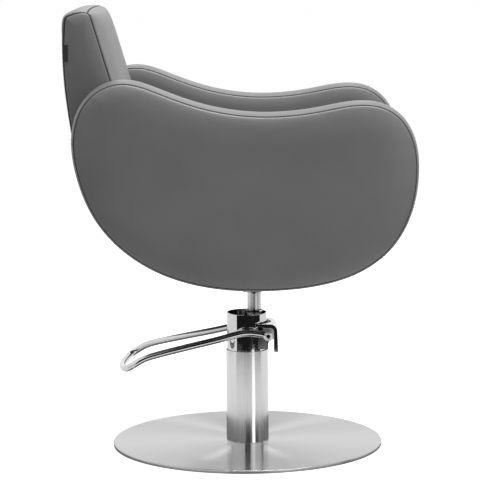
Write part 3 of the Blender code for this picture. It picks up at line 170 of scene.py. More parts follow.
# Seat
SEAT_POINTS = 720
SEAT_ROWS = 12
SEAT_CORNER = 0.030
CORNER_STEPS = 16
SEAT_ROUND = 0.0125  # width that the frame's cushion loses in its round top edge
SEAT_SEAM = 1.8  # length of the seam
SEAT_SEAM_ROOM = 0.012  # between the even rows of the sides and the seam
SEAT_ROLL = 0.03
SEAT_CROWN = 0.017
SEAT_CROWN_REACH = 0.14
SEAT_CROWN_POWER = 3.4
BOARD_CORNER = 0.015
BOARD_GAP = 0.0003
BOARD_LIP = 0.001

# Simulated cloth of the covers: how far at most it swells them, and where it is held besides at the seams
VOXEL = 0.006
CLOTH_FRAMES = 20
CLOTH_PRESSURE = 4.0
CLOTH_NEIGHBOURS = 12
HELD_BESIDE_SEAM = 0.007
PANEL_SWELL = 0.0022
PANEL_HELD = 0.012  # from the inner face
BACK_MOST_SWELL = 0.0025
BACK_HELD = 0.10  # above the lower end
SEAT_SWELL = 0.004
SEAT_HELD = 0.045  # above the lower edge

# Metal pieces and their rounded edges
TURN_STEPS = 144
BEVEL_STEPS = 2
LARGE_FACES = 100  # weight of large faces in the normals
EDGE_ROUND = 0.0005
HEAD_EDGE = 0.0008
HEAD_FRONT = 0.6  # shares of the head's radius that tell its window's rim from the rest
HEAD_SKIN = 0.97
HEAD_ENDS = 0.01
WINDOW_REACH = (0.5, 2.0)  # shares of the radius between which the window is cut
PLATE_EDGES = {"pivot_bracket": 0.0005, "seat_mount_plate": 0.0008, "seat_bearer_front": 0.0008,
               "seat_bearer_rear": 0.0008, "back_bar_right": 0.0010, "back_bar_left": 0.0010}

# Foot lever, from its eye to the middle of the foot rest: distance behind the pivot, outwards from the eye's
# middle, and above the pivot
LEVER_ROUTE = [
    (0.000, 0.000, 0.0000),
    (0.024, 0.0005, 0.0050),
    (0.050, 0.0020, 0.0066),
    (0.085, 0.0060, -0.0005),
    (0.165, 0.0165, -0.0183),
    (0.240, 0.0270, -0.0350),
    (0.266, 0.0305, -0.0430),
    (0.284, 0.0325, -0.0530),
    (0.300, 0.0255, -0.0625),
    (0.3065, 0.0090, -0.0660),
]
BAR_RADIUS = 0.0075
BAR_STEPS = 28
BAR_POINTS = 260
EYE_RADIUS = 0.0105
EYE_WIDTH = 0.014
EYE_PAST_PIN = 0.0015
EYE_BORE = 0.0043
EYE_EDGE = 0.0012
EYE_GROOVE = 0.0086  # radius of the thin groove round the pin's washer
EYE_GROOVE_WIDTH = 0.0009
EYE_GROOVE_DEPTH = 0.0008
EYE_WASHER_RISE = 0.0003
EYE_STEPS = 64
WASHER_STEPS = 9
RIM_STEPS = 8
EYE_CREASE = math.radians(40)
EYE_FACING = 0.5  # how squarely the washer's faces look sideways
EAR_SETBACK = 0.0010  # ears of the guard behind its edge
EAR_FACING = 0.9
GUARD_LINING = 0.0020  # inside the guard's front plate
GUARD_EDGE = 0.0005
BEND_STEPS = 9

# White floor: half its size, colour, what the camera adds to it, and how white gloss mirrors it
FLOOR_HALF = 40.0
FLOOR_COLOUR = (0.80, 0.80, 0.80, 1.0)
FLOOR_GLOW = 0.83
FLOOR_MIRRORED = 0.95

# Dark end of the studio, a black flag, a tall strip light and glows over the disc, which only gloss mirrors:
# angles from the camera's side, reaches and heights
DARK_ANGLES = (-60, 80)
DARK_START = 1.08
DARK_END = 8.0
DARK_LIFT = 0.004
DARK_HEIGHT = 6.0
DOOR_ANGLES = (-16, 16)
FLAG_ANGLES = (84, 96)
FLAG_REACH = 4.0
STRIP_ANGLES = (26, 42)
STRIP_REACH = 3.0
STRIP_LIFT = 0.006
STRIP_HEIGHT = 3.0
STRIP_FLOOR = (0.32, 1.12)
STRIP_GLOW = 1.7
FOOT_GLOWS = ((-180, -8, 0.20), (-8, 14, 0.06), (14, 26, 0.16), (*STRIP_ANGLES, STRIP_GLOW),
              (42, 60, 0.06), (60, 180, 0.19))  # angles and strengths, for the foot of the sleeve
FOOT_LIFT = 0.001
FOOT_SPAN = 0.90  # share of the way to the disc's rim
CONTACT_WIDTH = 0.028  # shadow on the floor beside the base
CONTACT_SHADE = 0.22
CONTACT_LIFT = 0.0005
SCREEN_STEPS = 25
RING_STEPS = 121
DULL = {"Roughness": 1.0, "Specular_IOR_Level": 0.0}

# White surroundings, and square lamps: name, place, target, size, watts and whether gloss mirrors them
WHITE = (1.0, 1.0, 1.0, 1.0)
WORLD_GLOW = 0.205
CHAIR_MIDDLE = (0.0, 0.0, 0.6)
LAMPS = (
    ("top_lamp", (0.5, -0.5, 3.6), CHAIR_MIDDLE, 2.6, 178, True),
    ("front_lamp", (2.0, -1.5, 1.7), CHAIR_MIDDLE, 2.3, 19, False),
    ("rear_lamp_left", (-0.36, 2.25, 1.95), ORIGIN, 0.2, 1.5, True),
    ("rear_lamp_right", (0.36, 2.25, 1.95), ORIGIN, 0.2, 1.5, True),
)


# Points and lines

def places(piece):
    """Vertices of a piece as an array."""
    flat = np.empty(len(piece.data.vertices) * 3)
    piece.data.vertices.foreach_get("co", flat)
    return flat.reshape(-1, 3)


def box_middle(node):
    """Middle of a CAD node's box."""
    return [(low + high) / 2 for low, high in zip(*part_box(node))]


def section(node, y):
    """Loop of a node's vertices at one place along Y, anticlockwise in X and Z."""
    points = places(NODES[node])
    found = np.unique(points[np.abs(points[:, 1] - y) < SAME_LEVEL][:, ::2].round(5), axis=0)
    out = found - found.mean(axis=0)
    return found[np.argsort(np.arctan2(out[:, 1], out[:, 0]))]


def resample_wave(loop, count):
    """More points on the smooth closed line through evenly spaced points."""
    wave = np.fft.fft(loop[:, 0] + 1j * loop[:, 1])
    half = len(loop) // 2
    padded = np.concatenate([wave[:half], np.zeros(count - 2 * half), wave[-half:]])
    fine = np.fft.ifft(padded) * count / len(loop)
    return np.stack([fine.real, fine.imag], axis=1)


def spread(line, count, closed):
    """Evenly spaced points along a line of close points."""
    line = np.asarray(line, float)
    if closed:
        line = np.vstack([line, line[:1]])
    run = np.concatenate([[0], np.cumsum(np.linalg.norm(np.diff(line, axis=0), axis=1))])
    wanted = np.linspace(0, run[-1], count, endpoint=not closed)
    return np.stack([np.interp(wanted, run, line[:, k]) for k in range(line.shape[1])], axis=1)


def spline(points, per_span=30):
    """Close points on the natural cubic spline through the given points."""
    knots = np.asarray(points, float)
    if len(knots) < 3:
        return knots
    steps = np.linalg.norm(np.diff(knots, axis=0), axis=1)[:, None]
    system = np.eye(len(knots))
    for i, (before, after) in enumerate(zip(steps[:-1, 0], steps[1:, 0])):
        system[i + 1, i:i + 3] = (before, 2 * (before + after), after)
    right = np.zeros(knots.shape)
    right[1:-1] = 6 * np.diff(np.diff(knots, axis=0) / steps, axis=0)
    bend = np.linalg.solve(system, right)
    i = np.repeat(np.arange(len(steps)), per_span)
    t = np.tile(np.linspace(0, 1, per_span, endpoint=False), len(steps))[:, None]
    curve = (((1 - t) ** 3 - (1 - t)) * bend[i] + (t ** 3 - t) * bend[i + 1]) * steps[i] ** 2 / 6
    return np.vstack([(1 - t) * knots[i] + t * knots[i + 1] + curve, knots[-1:]])


def length_round(loop):
    """Length of a closed line."""
    return np.linalg.norm(np.roll(loop, -1, axis=0) - loop, axis=1).sum()


def run_from(number, count, length):
    """Distance of even points on a closed line from one of them, along the line."""
    along = np.linspace(0, length, count, endpoint=False)
    off = np.abs(along - along[number])
    return np.minimum(off, length - off)


def soften(values, length, softness):
    """Values round a closed line, blurred over a distance along it."""
    waves = np.fft.fft(values, axis=0)
    turns = np.fft.fftfreq(len(values), d=length / len(values))
    fade = np.exp(-2 * (np.pi * turns * softness) ** 2)
    return np.fft.ifft(waves * fade.reshape(-1, *[1] * (values.ndim - 1)), axis=0).real


def inward(loop):
    """Unit normals into an anticlockwise closed line."""
    along = np.roll(loop, -1, axis=0) - np.roll(loop, 1, axis=0)
    normal = np.stack([-along[:, 1], along[:, 0]], axis=1)
    return normal / np.linalg.norm(normal, axis=1)[:, None]


def inside(points, loop):
    """Which points lie inside a closed line."""
    found = np.zeros(len(points), bool)
    for a, b in zip(loop, np.roll(loop, -1, axis=0)):
        crosses = (a[1] > points[:, 1]) != (b[1] > points[:, 1])
        if a[1] != b[1]:
            found ^= crosses & (points[:, 0] < a[0] + (points[:, 1] - a[1]) * (b[0] - a[0]) / (b[1] - a[1]))
    return found


def search_tree(points):
    """A tree that finds the nearest of some points."""
    tree = KDTree(len(points))
    for number, point in enumerate(points):
        tree.insert(point, number)
    tree.balance()
    return tree


def nearest(points, loop):
    """Distance of each point from a closed line of close points, and which of them is nearest."""
    tree = search_tree(np.insert(loop, 2, 0, axis=1))
    found = [tree.find((x, y, 0)) for x, y in points]
    return np.array([f[2] for f in found]), np.array([f[1] for f in found])


# Meshes

def fill(edge, reach):
    """Triangles inside a closed line: close rings beside it and an even grid further in.

    Returns the points, each one's distance from the line and nearest point on it, and the triangles.
    """
    normal = inward(edge)
    points = [edge + distance * normal for distance in SEAM_STEPS]
    for share, skip in GRID_RINGS:
        points.append((edge + share * reach * normal)[::skip])
    columns, rows = (np.arange(*ends, GRID_SPACING) for ends in zip(edge.min(axis=0), edge.max(axis=0)))
    grid = np.stack(np.meshgrid(columns, rows), axis=-1)
    grid[1::2, :, 0] += GRID_SPACING / 2
    grid = grid.reshape(-1, 2)
    grid = grid[inside(grid, edge[::EDGE_SKIP])]
    away, _ = nearest(grid, edge)
    points.append(grid[away > reach + GRID_SPACING / 2])
    corners = [Vector(point) for point in np.vstack(points)]
    found = delaunay_2d_cdt(corners, [], [list(range(len(edge)))], 1, SAME_POINT)
    flat = np.array([tuple(point) for point in found[0]])
    away, place = nearest(flat, edge)
    return flat, away, place, [list(triangle) for triangle in found[2]]


def grid_part(rows, closed=True, capped=False):
    """Points and quads of rows of points. Capped ones have a face over the first and the last row too."""
    rows = np.array(rows)
    index = np.arange(rows.shape[0] * rows.shape[1]).reshape(rows.shape[:2])
    right = np.roll(index, -1, axis=1)
    quads = np.stack([index[:-1], right[:-1], right[1:], index[1:]], axis=-1)
    if not closed:
        quads = quads[:, :-1]
    caps = index[[0, -1]].tolist() if capped else []
    return rows.reshape(-1, 3), quads.reshape(-1, 4).tolist() + caps


def add_piece(name, parts, sharp=None):
    """One mesh piece from parts of points and faces, welded where they meet."""
    faces = []
    base = 0
    for points, part_faces in parts:
        faces += [[i + base for i in face] for face in part_faces]
        base += len(points)
    data = bpy.data.meshes.new(name)
    data.from_pydata(np.vstack([points for points, _ in parts]).tolist(), [], faces)
    tidy_mesh(data, sharp)
    return add_object(name, data)


def add_object(name, data):
    """A new object in the scene."""
    made = bpy.data.objects.new(name, data)
    bpy.context.scene.collection.objects.link(made)
    return made


def tidy_mesh(data, sharp=None):
    """Weld a mesh, turn its normals outwards and shade it smooth but for its sharp edges."""
    bm = bmesh.new()
    bm.from_mesh(data)
    bmesh.ops.remove_doubles(bm, verts=bm.verts, dist=WELD)
    bmesh.ops.dissolve_degenerate(bm, edges=bm.edges, dist=WELD / 10)
    bmesh.ops.recalc_face_normals(bm, faces=bm.faces)
    bm.to_mesh(data)
    bm.free()
    data.shade_smooth()
    if sharp:
        data.set_sharp_from_angle(angle=sharp)


def settle(piece):
    """Apply a piece's modifiers to its mesh."""
    graph = bpy.context.evaluated_depsgraph_get()
    made = bpy.data.meshes.new_from_object(piece.evaluated_get(graph))
    piece.modifiers.clear()
    piece.data = made


def dress(piece, node, *finishes):
    """Give a piece its materials, and let it stand for a CAD node on the body that this rides on."""
    chosen = np.empty(len(piece.data.polygons), dtype=np.int32)
    piece.data.polygons.foreach_get("material_index", chosen)
    piece.data.materials.clear()
    for finish in finishes:
        piece.data.materials.append(finish)
    piece.data.polygons.foreach_set("material_index", chosen)
    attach(piece, NODES[node]["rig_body"])
    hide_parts(node)


# Sewn covers

def groove(distance):
    """Depth of the dip that a seam makes in its cover."""
    return SEAM_DEPTH * np.exp(-(distance / SEAM_REACH) ** 2)


def crown(distance, height, reach, power=2.0):
    """How far a padded face rises inside its seam."""
    return height * (1 - (1 - np.clip(distance / reach, 0, 1)) ** power)


def pucker_wave(count, length, seed):
    """Uneven small waves at points round a seam."""
    rng = np.random.default_rng(seed)
    turn = 2 * np.pi * np.arange(count) / count
    wave = np.zeros(count)
    for share in PUCKER_MIX:
        wave += np.sin(round(length / PUCKER_LENGTH * share) * turn + rng.uniform(0, 2 * np.pi))
    groups = np.sin(PUCKER_GROUPS * turn + rng.uniform(0, 2 * np.pi))
    return wave / len(PUCKER_MIX) * (PUCKER_STRENGTH + (1 - PUCKER_STRENGTH) * groups)


def pucker(wave, distance):
    """Height of the puckers at a distance from their seam."""
    return PUCKER_HEIGHT * wave * np.exp(-distance / PUCKER_REACH) * (1 - np.exp(-distance / PUCKER_START))


def smooth_step(values, low, high):
    """Smooth rise from 0 to 1 between two values."""
    share = np.clip((values - low) / (high - low), 0, 1)
    return share * share * (3 - 2 * share)


def seam_rows(width, even, count):
    """Rows of a cover from seam to seam, close together beside the seams.

    For each one its share of the way, its distance from the nearer seam, its dip there and its place.
    """
    beside = np.array(SEAM_STEPS) / width
    for share in np.concatenate([beside, np.linspace(*even, count), 1 - beside[::-1]]):
        distance = min(share, 1 - share) * width
        dip = groove(distance)
        yield share, distance, dip, share * width + (dip if share < 0.5 else -dip)


def mark_seams(piece, seams):
    """Let the faces that meet at a seam take the second material: painted shade for the shadow in the fold.
    """
    tree = search_tree(seams)
    at_seam = np.array([tree.find(p)[2] < AT_SEAM for p in places(piece)])
    for face in piece.data.polygons:
        face.material_index = int(at_seam[list(face.vertices)].any())


def plump(piece, seams, still, cap):
    """Swell a cover as simulated cloth, held at its seams and where it lies still, by at most a cap."""
    scene = bpy.context.scene
    cloth_piece = add_object(piece.name + "_cloth", piece.data.copy())
    remesh = cloth_piece.modifiers.new("voxels", "REMESH")
    remesh.mode = "VOXEL"
    remesh.voxel_size = VOXEL
    settle(cloth_piece)
    rest = places(cloth_piece)
    seam_tree = search_tree(seams)
    held = np.array([seam_tree.find(p)[2] < HELD_BESIDE_SEAM for p in rest]) | still(rest)
    group = cloth_piece.vertex_groups.new(name="held")
    group.add(np.flatnonzero(held).tolist(), 1.0, "REPLACE")
    cloth = cloth_piece.modifiers.new("cloth", "CLOTH")
    cloth.settings.use_pressure = True
    cloth.settings.uniform_pressure_force = CLOTH_PRESSURE
    cloth.settings.effector_weights.gravity = 0.0
    cloth.settings.vertex_group_mass = "held"
    cloth.collision_settings.use_collision = False
    cloth.point_cache.frame_start = 1
    cloth.point_cache.frame_end = CLOTH_FRAMES
    for number in range(1, CLOTH_FRAMES + 1):
        scene.frame_set(number)
    settle(cloth_piece)
    shift = places(cloth_piece) - rest
    scene.frame_set(1)
    bpy.data.objects.remove(cloth_piece, do_unlink=True)
    size = np.linalg.norm(shift, axis=1)
    shift *= (cap * np.tanh(size / cap) / np.maximum(size, 1e-9))[:, None]
    tree = search_tree(rest)
    moved = places(piece)
    for i, point in enumerate(moved.copy()):
        found = tree.find_n(point, CLOTH_NEIGHBOURS)
        weight = np.array([1 / (f[2] + VOXEL / 2) ** 2 for f in found])
        moved[i] += weight @ shift[[f[1] for f in found]] / weight.sum()
    piece.data.vertices.foreach_set("co", moved.ravel())
    piece.data.update()


# Side panels

def panel_parts(sign, inner, apart, crest, seat_top):
    """Parts of one side panel: its band between the two seams, its outer face and its inner face."""
    normal = inward(crest)
    length = length_round(crest)
    outer_wave = pucker_wave(len(crest), length, seed=3)
    inner_wave = pucker_wave(len(crest), length, seed=4)
    join = np.zeros(len(crest))
    for place in BAND_JOINS:
        off = run_from(np.argmin(np.linalg.norm(crest - np.array(place), axis=1)), len(crest), length)
        join += JOIN_RIDGE * np.exp(-(off / JOIN_WIDTH) ** 2) - groove(off)
    rows = []
    for share, distance, dip, place in seam_rows(apart, BAND_EVEN, BAND_ROWS):
        wave = inner_wave if share < 0.5 else outer_wave
        into = BAND_CROWN * abs(2 * share - 1) ** BAND_ROUND + dip - pucker(wave, distance)
        into = into - join * (1 - np.exp(-distance / SEAM_REACH))
        rows.append(np.insert(crest + into[:, None] * normal, 1, sign * (inner + place), axis=1))
    edge = crest + (BAND_CROWN + SEAM_DEPTH) * normal
    flat, away, place, triangles = fill(edge, FACE_REACH)
    reach = np.interp(edge[place, 0], *np.transpose(FACE_REACHES))
    outside = apart - groove(away) + crown(away, FACE_CROWN, reach, FACE_ROUND)
    outside = outside + pucker(outer_wave[place], away)
    above = smooth_step(flat[:, 1], *(seat_top + height for height in INNER_FADE))
    swell = crown(away, INNER_CROWN, INNER_REACH) + pucker(inner_wave[place], away)
    faces = [(np.insert(flat, 1, sign * (inner + depth), axis=1), triangles)
             for depth in (outside, groove(away) - swell * above)]
    return [grid_part(rows), *faces], np.vstack([rows[0], rows[-1]])


def build_panels(finish, seam_painted_shade):
    """Both padded side panels."""
    seat_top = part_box("seat_cushion")[1].z
    for side, sign in SIDES.items():
        node = f"{side}_side_panel"
        low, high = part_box(node)
        inner = min(abs(low.y), abs(high.y))
        apart = high.y - low.y - CAD_SIDE_CROWN
        crest = resample_wave(section(node, sign * (inner + apart / 2)), PANEL_POINTS)
        parts, seams = panel_parts(sign, inner, apart, crest, seat_top)
        piece = add_piece(f"{side}_panel_cover", parts)
        mark_seams(piece, seams)
        flat_side = sign * inner
        plump(piece, seams, lambda p: np.abs(p[:, 1] - flat_side) < PANEL_HELD, PANEL_SWELL)
        dress(piece, node, finish, seam_painted_shade)


# Back

def back_profile():
    """Side seam of the back as an even loop with soft corners, and the half width to it."""
    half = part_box("backrest")[1].y - CAD_SIDE_CROWN
    loop = section("backrest", -half)
    before = loop - np.roll(loop, 1, axis=0)
    after = np.roll(loop, -1, axis=0) - loop
    turn = np.arctan2(before[:, 0] * after[:, 1] - before[:, 1] * after[:, 0], (before * after).sum(axis=1))
    corners = np.flatnonzero(turn > BACK_CORNER)
    line = []
    for start, end in zip(corners, np.roll(corners, -1)):
        count = (end - start) % len(loop)
        run = loop[(start + np.arange(count + 1)) % len(loop)]
        line.append(spline(run)[:-1])
    loop = spread(np.vstack(line), BACK_POINTS, closed=True)
    loop = soften(loop, length_round(loop), BACK_CORNER_SOFTNESS)
    return spread(loop, BACK_POINTS, closed=True), half


def back_swells(loop, out, rise):
    """How far the side seam's points move at the middle of the back: in front, and on top and rear."""
    length = length_round(loop)
    still = np.zeros(len(loop))
    front = smooth_step(out[:, 0], *FRONT_FACING) * rise * BACK_FRONT_CROWN
    crest = loop[:, 1].max()
    high = smooth_step(loop[:, 1], crest - BACK_REAR_FADE, crest)
    rear = smooth_step(-out[:, 0], *REAR_FACING) * rise
    rear = rear * (BACK_REAR_CROWNS[0] + np.ptp(BACK_REAR_CROWNS) * high)
    on_top = loop[out[:, 1] > TOP_FACING[1], 0]
    share = np.clip((on_top.max() - loop[:, 0]) / np.ptp(on_top), 0, 1)
    top = smooth_step(out[:, 1], *TOP_FACING) * rise
    top = top * (BACK_TOP_CROWNS[0] + np.ptp(BACK_TOP_CROWNS) * share)
    swells = (np.stack([front, still], axis=1), np.stack([-rear, top], axis=1))
    return [soften(swell, length, BACK_SWELL_SOFTNESS) for swell in swells]


def slid(line, length, slide):
    """Points of a closed line moved along it by a slide at each of them."""
    along = np.linspace(0, length, len(line), endpoint=False)
    at = np.concatenate([along - length, along, along + length])
    return np.stack([np.interp(along + slide, at, np.tile(line[:, k], 3)) for k in range(2)], axis=1)


def build_back(finish, seam_painted_shade):
    """Padded back: one cover round the front, top and rear, and a gusset on each side."""
    loop, half = back_profile()
    seat_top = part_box("seat_cushion")[1].z
    rise = smooth_step(loop[:, 1], seat_top, seat_top + BACK_CROWN_RISE)
    out = -inward(loop)
    front_swell, top_swell = back_swells(loop, out, rise)
    length = length_round(loop)
    waves = {-1: pucker_wave(len(loop), length, seed=5), 1: pucker_wave(len(loop), length, seed=6)}
    top_front = np.argmax(loop[:, 1] + TOP_SEAM_SLANT * loop[:, 0])
    off = run_from(top_front, len(loop), length)
    slide = BACK_SEAM_SLIDE * np.exp(-(off / BACK_SLIDE_REACH) ** 2)
    rows = []
    for share, distance, dip, place in seam_rows(2 * half, BACK_EVEN, BACK_ROWS):
        lift = BACK_ROLL * rise * (1 - np.exp(-distance / BACK_ROLL_REACH)) - dip
        lift = lift + pucker(waves[-1 if share < 0.5 else 1], distance)
        middle = 1 - (2 * share - 1) ** 2
        line = loop + middle ** BACK_SWELL * front_swell + middle ** BACK_TOP_SWELL * top_swell
        line = slid(line + lift[:, None] * out, length, slide * middle ** BACK_SWELL)
        line -= (groove(off) * (1 - np.exp(-distance / SEAM_REACH)))[:, None] * out
        rows.append(np.insert(line, 1, place - half, axis=1))
    flat, away, place, triangles = fill(loop - SEAM_DEPTH * out, GUSSET_REACH)
    parts = [grid_part(rows)]
    for sign, wave in waves.items():
        depth = half - groove(away) + crown(away, GUSSET_CROWN, GUSSET_REACH) + pucker(wave[place], away)
        parts.append((np.insert(flat, 1, sign * depth, axis=1), triangles))
    piece = add_piece("back_cover", parts)
    side_seams = np.vstack([rows[0], rows[-1]])
    mark_seams(piece, np.vstack([side_seams, [row[top_front] for row in rows]]))
    foot = loop[:, 1].min()
    plump(piece, side_seams, lambda p: p[:, 2] < foot + BACK_HELD, BACK_MOST_SWELL)
    dress(piece, "backrest", finish, seam_painted_shade)
    return loop, half


def build_tag(finish, loop, half):
    """Plain woven tag that lies on the gusset beside the rear seam."""
    low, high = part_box("seam_tag")
    away = TAG_START + np.linspace(0, 1, TAG_COLUMNS) * TAG_WIDTH * (high.x - low.x)
    under = half + crown(away, GUSSET_CROWN, GUSSET_REACH) + TAG_LIFT
    over = under + TAG_THICKNESS * (high.y - low.y)
    ring = np.stack([np.append(away, away[::-1]), -np.append(under, over[::-1])], axis=1)
    rear = loop[loop[:, 0] <= TAG_SEAM]
    rows = []
    for z in np.linspace(low.z, high.z, TAG_ROWS):
        seam = rear[np.argmin(np.abs(rear[:, 1] - z)), 0]
        rows.append(np.insert(ring + (seam, 0), 2, z, axis=1))
    piece = add_piece("woven_tag", [grid_part(rows, capped=True)], sharp=SHADED_CREASE)
    dress(piece, "seam_tag", finish)


# Seat

def rounded_box(front, back, half, corner, count):
    """Even points round a rectangle with round corners, anticlockwise from the middle of its front."""
    line = [(front, 0.0)]
    for x, y, start in ((front - corner, half - corner, 0), (back + corner, half - corner, 90),
                        (back + corner, corner - half, 180), (front - corner, corner - half, 270)):
        for angle in np.radians(np.linspace(start, start + 90, CORNER_STEPS)):
            line.append((x + corner * math.cos(angle), y + corner * math.sin(angle)))
    return spread(line, count, closed=True)


def build_seat(finish, seam_painted_shade):
    """Padded seat: boxed sides with a rounded nose, a crowned top and a recess for the board below."""
    points = places(NODES["seat_cushion"])
    levels = []
    for z in np.unique(points[:, 2].round(4)):
        at = points[np.abs(points[:, 2] - z) < SAME_LEVEL]
        levels.append((z, at[:, 0].max(), at[:, 0].min(), at[:, 1].max()))
    levels = np.array(levels)
    heights, fronts, backs, halves = levels[levels[:, 3] > levels[:, 3].max() - SEAT_ROUND].T
    low, top = heights[0], heights[-1]
    nose = spline(np.stack([fronts, heights], axis=1))
    board_low, board_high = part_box("seat_board")
    board = (board_high.x + BOARD_GAP, board_low.x - BOARD_GAP, board_high.y + BOARD_GAP)
    inner_loop = rounded_box(*board, BOARD_CORNER, SEAT_POINTS)
    roof = board_high.z + BOARD_GAP
    rows = [np.insert(inner_loop, 2, z, axis=1) for z in (roof, low + BOARD_LIP)]
    wave = pucker_wave(SEAT_POINTS, SEAT_SEAM, seed=8)
    even = np.linspace(low, top - SEAT_SEAM_ROOM, SEAT_ROWS)
    for z in np.concatenate([even, top - np.array(SEAM_STEPS)[::-1]]):
        distance = top - z
        dip = groove(distance)
        front = np.interp(z, nose[:, 1], nose[:, 0])
        back, half = (np.interp(z, heights, values) for values in (backs, halves))
        loop = rounded_box(front, back, half, SEAT_CORNER, SEAT_POINTS)
        loop = loop + (dip - pucker(wave, distance))[:, None] * inward(loop)
        rows.append(np.insert(loop, 2, z - dip, axis=1))
    flat, away, place, triangles = fill(rows[-1][:, :2], SEAT_ROLL)
    z = top - groove(away) + crown(away, SEAT_CROWN, SEAT_CROWN_REACH, SEAT_CROWN_POWER)
    lid = (np.insert(flat, 2, z + pucker(wave[place], away), axis=1), triangles)
    flat, away, place, triangles = fill(inner_loop, SEAT_ROLL)
    ceiling = (np.insert(flat, 2, roof, axis=1), triangles)
    piece = add_piece("seat_cover", [grid_part(rows), lid, ceiling])
    mark_seams(piece, rows[-1])
    plump(piece, rows[-1], lambda p: p[:, 2] < low + SEAT_HELD, SEAT_SWELL)
    dress(piece, "seat_cushion", finish, seam_painted_shade)


# Metal

def spun(node, axis, centre, angle=0.0):
    """Parts of a turned CAD node, spun again more finely from its profile at one angle about its axis."""
    points = places(NODES[node]) - np.array(centre)
    order = {"X": (1, 2, 0), "Y": (2, 0, 1), "Z": (0, 1, 2)}[axis]
    a, b, along = (points[:, k] for k in order)
    radius = np.hypot(a, b)
    off = np.abs(-math.sin(angle) * a + math.cos(angle) * b)
    lying = (off < SAME_PLANE) & (math.cos(angle) * a + math.sin(angle) * b > -SAME_PLANE)
    spans = set()
    for edge in NODES[node].data.edges:
        i, j = edge.vertices
        if lying[i] and lying[j]:
            ends = sorted([(round(radius[k], 6), round(along[k], 6)) for k in (i, j)])
            if ends[0] != ends[1]:
                spans.add(tuple(ends))
    turn = np.linspace(0, 2 * np.pi, TURN_STEPS, endpoint=False)
    parts = []
    for ends in spans:
        rows = np.zeros((2, TURN_STEPS, 3))
        for row, (r, h) in enumerate(ends):
            for k, values in zip(order, (r * np.cos(turn), r * np.sin(turn), h)):
                rows[row, :, k] = centre[k] + values
        parts.append(grid_part(rows))
    return parts


def round_edges(piece, width):
    """Round the sharp edges of a metal piece, so that they catch the light."""
    bevel = piece.modifiers.new("edges", "BEVEL")
    bevel.width = width
    bevel.segments = BEVEL_STEPS
    bevel.limit_method = "ANGLE"
    bevel.angle_limit = CUT_CREASE
    bevel.use_clamp_overlap = True
    settle(piece)
    flatten_normals(piece)


def flatten_normals(piece):
    """Shade a piece so that its large faces keep their own direction up to their rounded edges."""
    piece.data.shade_smooth()
    piece.data.set_sharp_from_angle(angle=SHADED_CREASE)
    normals = piece.modifiers.new("normals", "WEIGHTED_NORMAL")
    normals.keep_sharp = True
    normals.weight = LARGE_FACES
    settle(piece)


def build_turned(finishes):
    """Turned pieces that show, spun finely from the frame's profiles. Returns the lever's pivot."""
    rod = (box_middle("piston_rod")[0], 0.0, 0.0)
    pin = box_middle("pivot_pin")
    pivot = (pin[0], 0.0, pin[2])
    screw = (rod[0], 0.0, box_middle("socket_screw_right")[2])
    from_right = 1.5 * math.pi
    rows = (("base_cover", "Z", ORIGIN, 0.0, EDGE_ROUND), ("base_plate", "Z", ORIGIN, 0.0, EDGE_ROUND),
            ("base_pad", "Z", ORIGIN, 0.0, EDGE_ROUND), ("column_sleeve", "Z", ORIGIN, 0.0, 0.0003),
            ("rod_gland", "Z", rod, 0.0, 0.0009), ("wiper_seal", "Z", rod, 0.0, 0.0004),
            ("piston_rod", "Z", rod, 0.0, 0.0003), ("seat_socket", "Z", rod, 0.0, 0.0006),
            ("pivot_pin", "Y", pivot, 0.0, 0.0006), ("socket_screw_right", "Y", screw, from_right, 0.0008),
            ("socket_screw_rear", "X", screw, 0.0, 0.0008))
    for node, axis, centre, angle, edge in rows:
        piece = add_piece(f"{node}_turned", spun(node, axis, centre, angle), sharp=CREASE)
        round_edges(piece, edge)
        dress(piece, node, finishes[node])
    return pivot


def boolean(piece, tool, operation):
    """Cut or join a piece with a tool, which is used up."""
    step = piece.modifiers.new(tool.name, "BOOLEAN")
    step.operation = operation
    step.object = tool
    settle(piece)
    bpy.data.objects.remove(tool, do_unlink=True)


def prism(name, outline, near, far):
    """A block over an outline in X and Z, between two places along Y."""
    count = len(outline)
    points, walls = grid_part([[(x, y, z) for x, z in outline] for y in (near, far)])
    caps = [list(range(count)), list(range(2 * count - 1, count - 1, -1))]
    return add_piece(name, [(points, walls + caps)], sharp=CREASE)


def build_head(finish):
    """Chrome pump head with the window that the fork passes."""
    head = add_piece("pump_head_turned", spun("pump_head", "Z", ORIGIN, math.pi), sharp=CREASE)
    points = places(NODES["pump_head"])
    low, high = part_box("pump_head")
    skin = np.hypot(points[:, 0], points[:, 1]) > HEAD_SKIN * high.x
    level = (points[:, 2] > low.z + HEAD_ENDS) & (points[:, 2] < high.z - HEAD_ENDS)
    rim = points[skin & level & (points[:, 0] > HEAD_FRONT * high.x)]
    (_, right, foot), (_, left, top) = rim.min(axis=0), rim.max(axis=0)
    back, front = (share * high.x for share in WINDOW_REACH)
    outline = [(back, foot), (front, foot), (front, top), (back, top)]
    boolean(head, prism("window", outline, right, left), "DIFFERENCE")
    tidy_mesh(head.data, sharp=CUT_CREASE)
    round_edges(head, HEAD_EDGE)
    dress(head, "pump_head", finish)


def bar_rows(path):
    """Rows of points round the lever's bar along a path."""
    along = np.gradient(path, axis=0)
    along /= np.linalg.norm(along, axis=1)[:, None]
    side = np.cross(along[0], (0, 0, 1.0))
    turn = np.linspace(0, 2 * np.pi, BAR_STEPS, endpoint=False)
    rows = []
    for point, direction in zip(path, along):
        side = side - direction * (side @ direction)
        side = side / np.linalg.norm(side)
        up = np.cross(side, direction)
        rows.append(point + BAR_RADIUS * (np.outer(np.cos(turn), side) + np.outer(np.sin(turn), up)))
    return rows


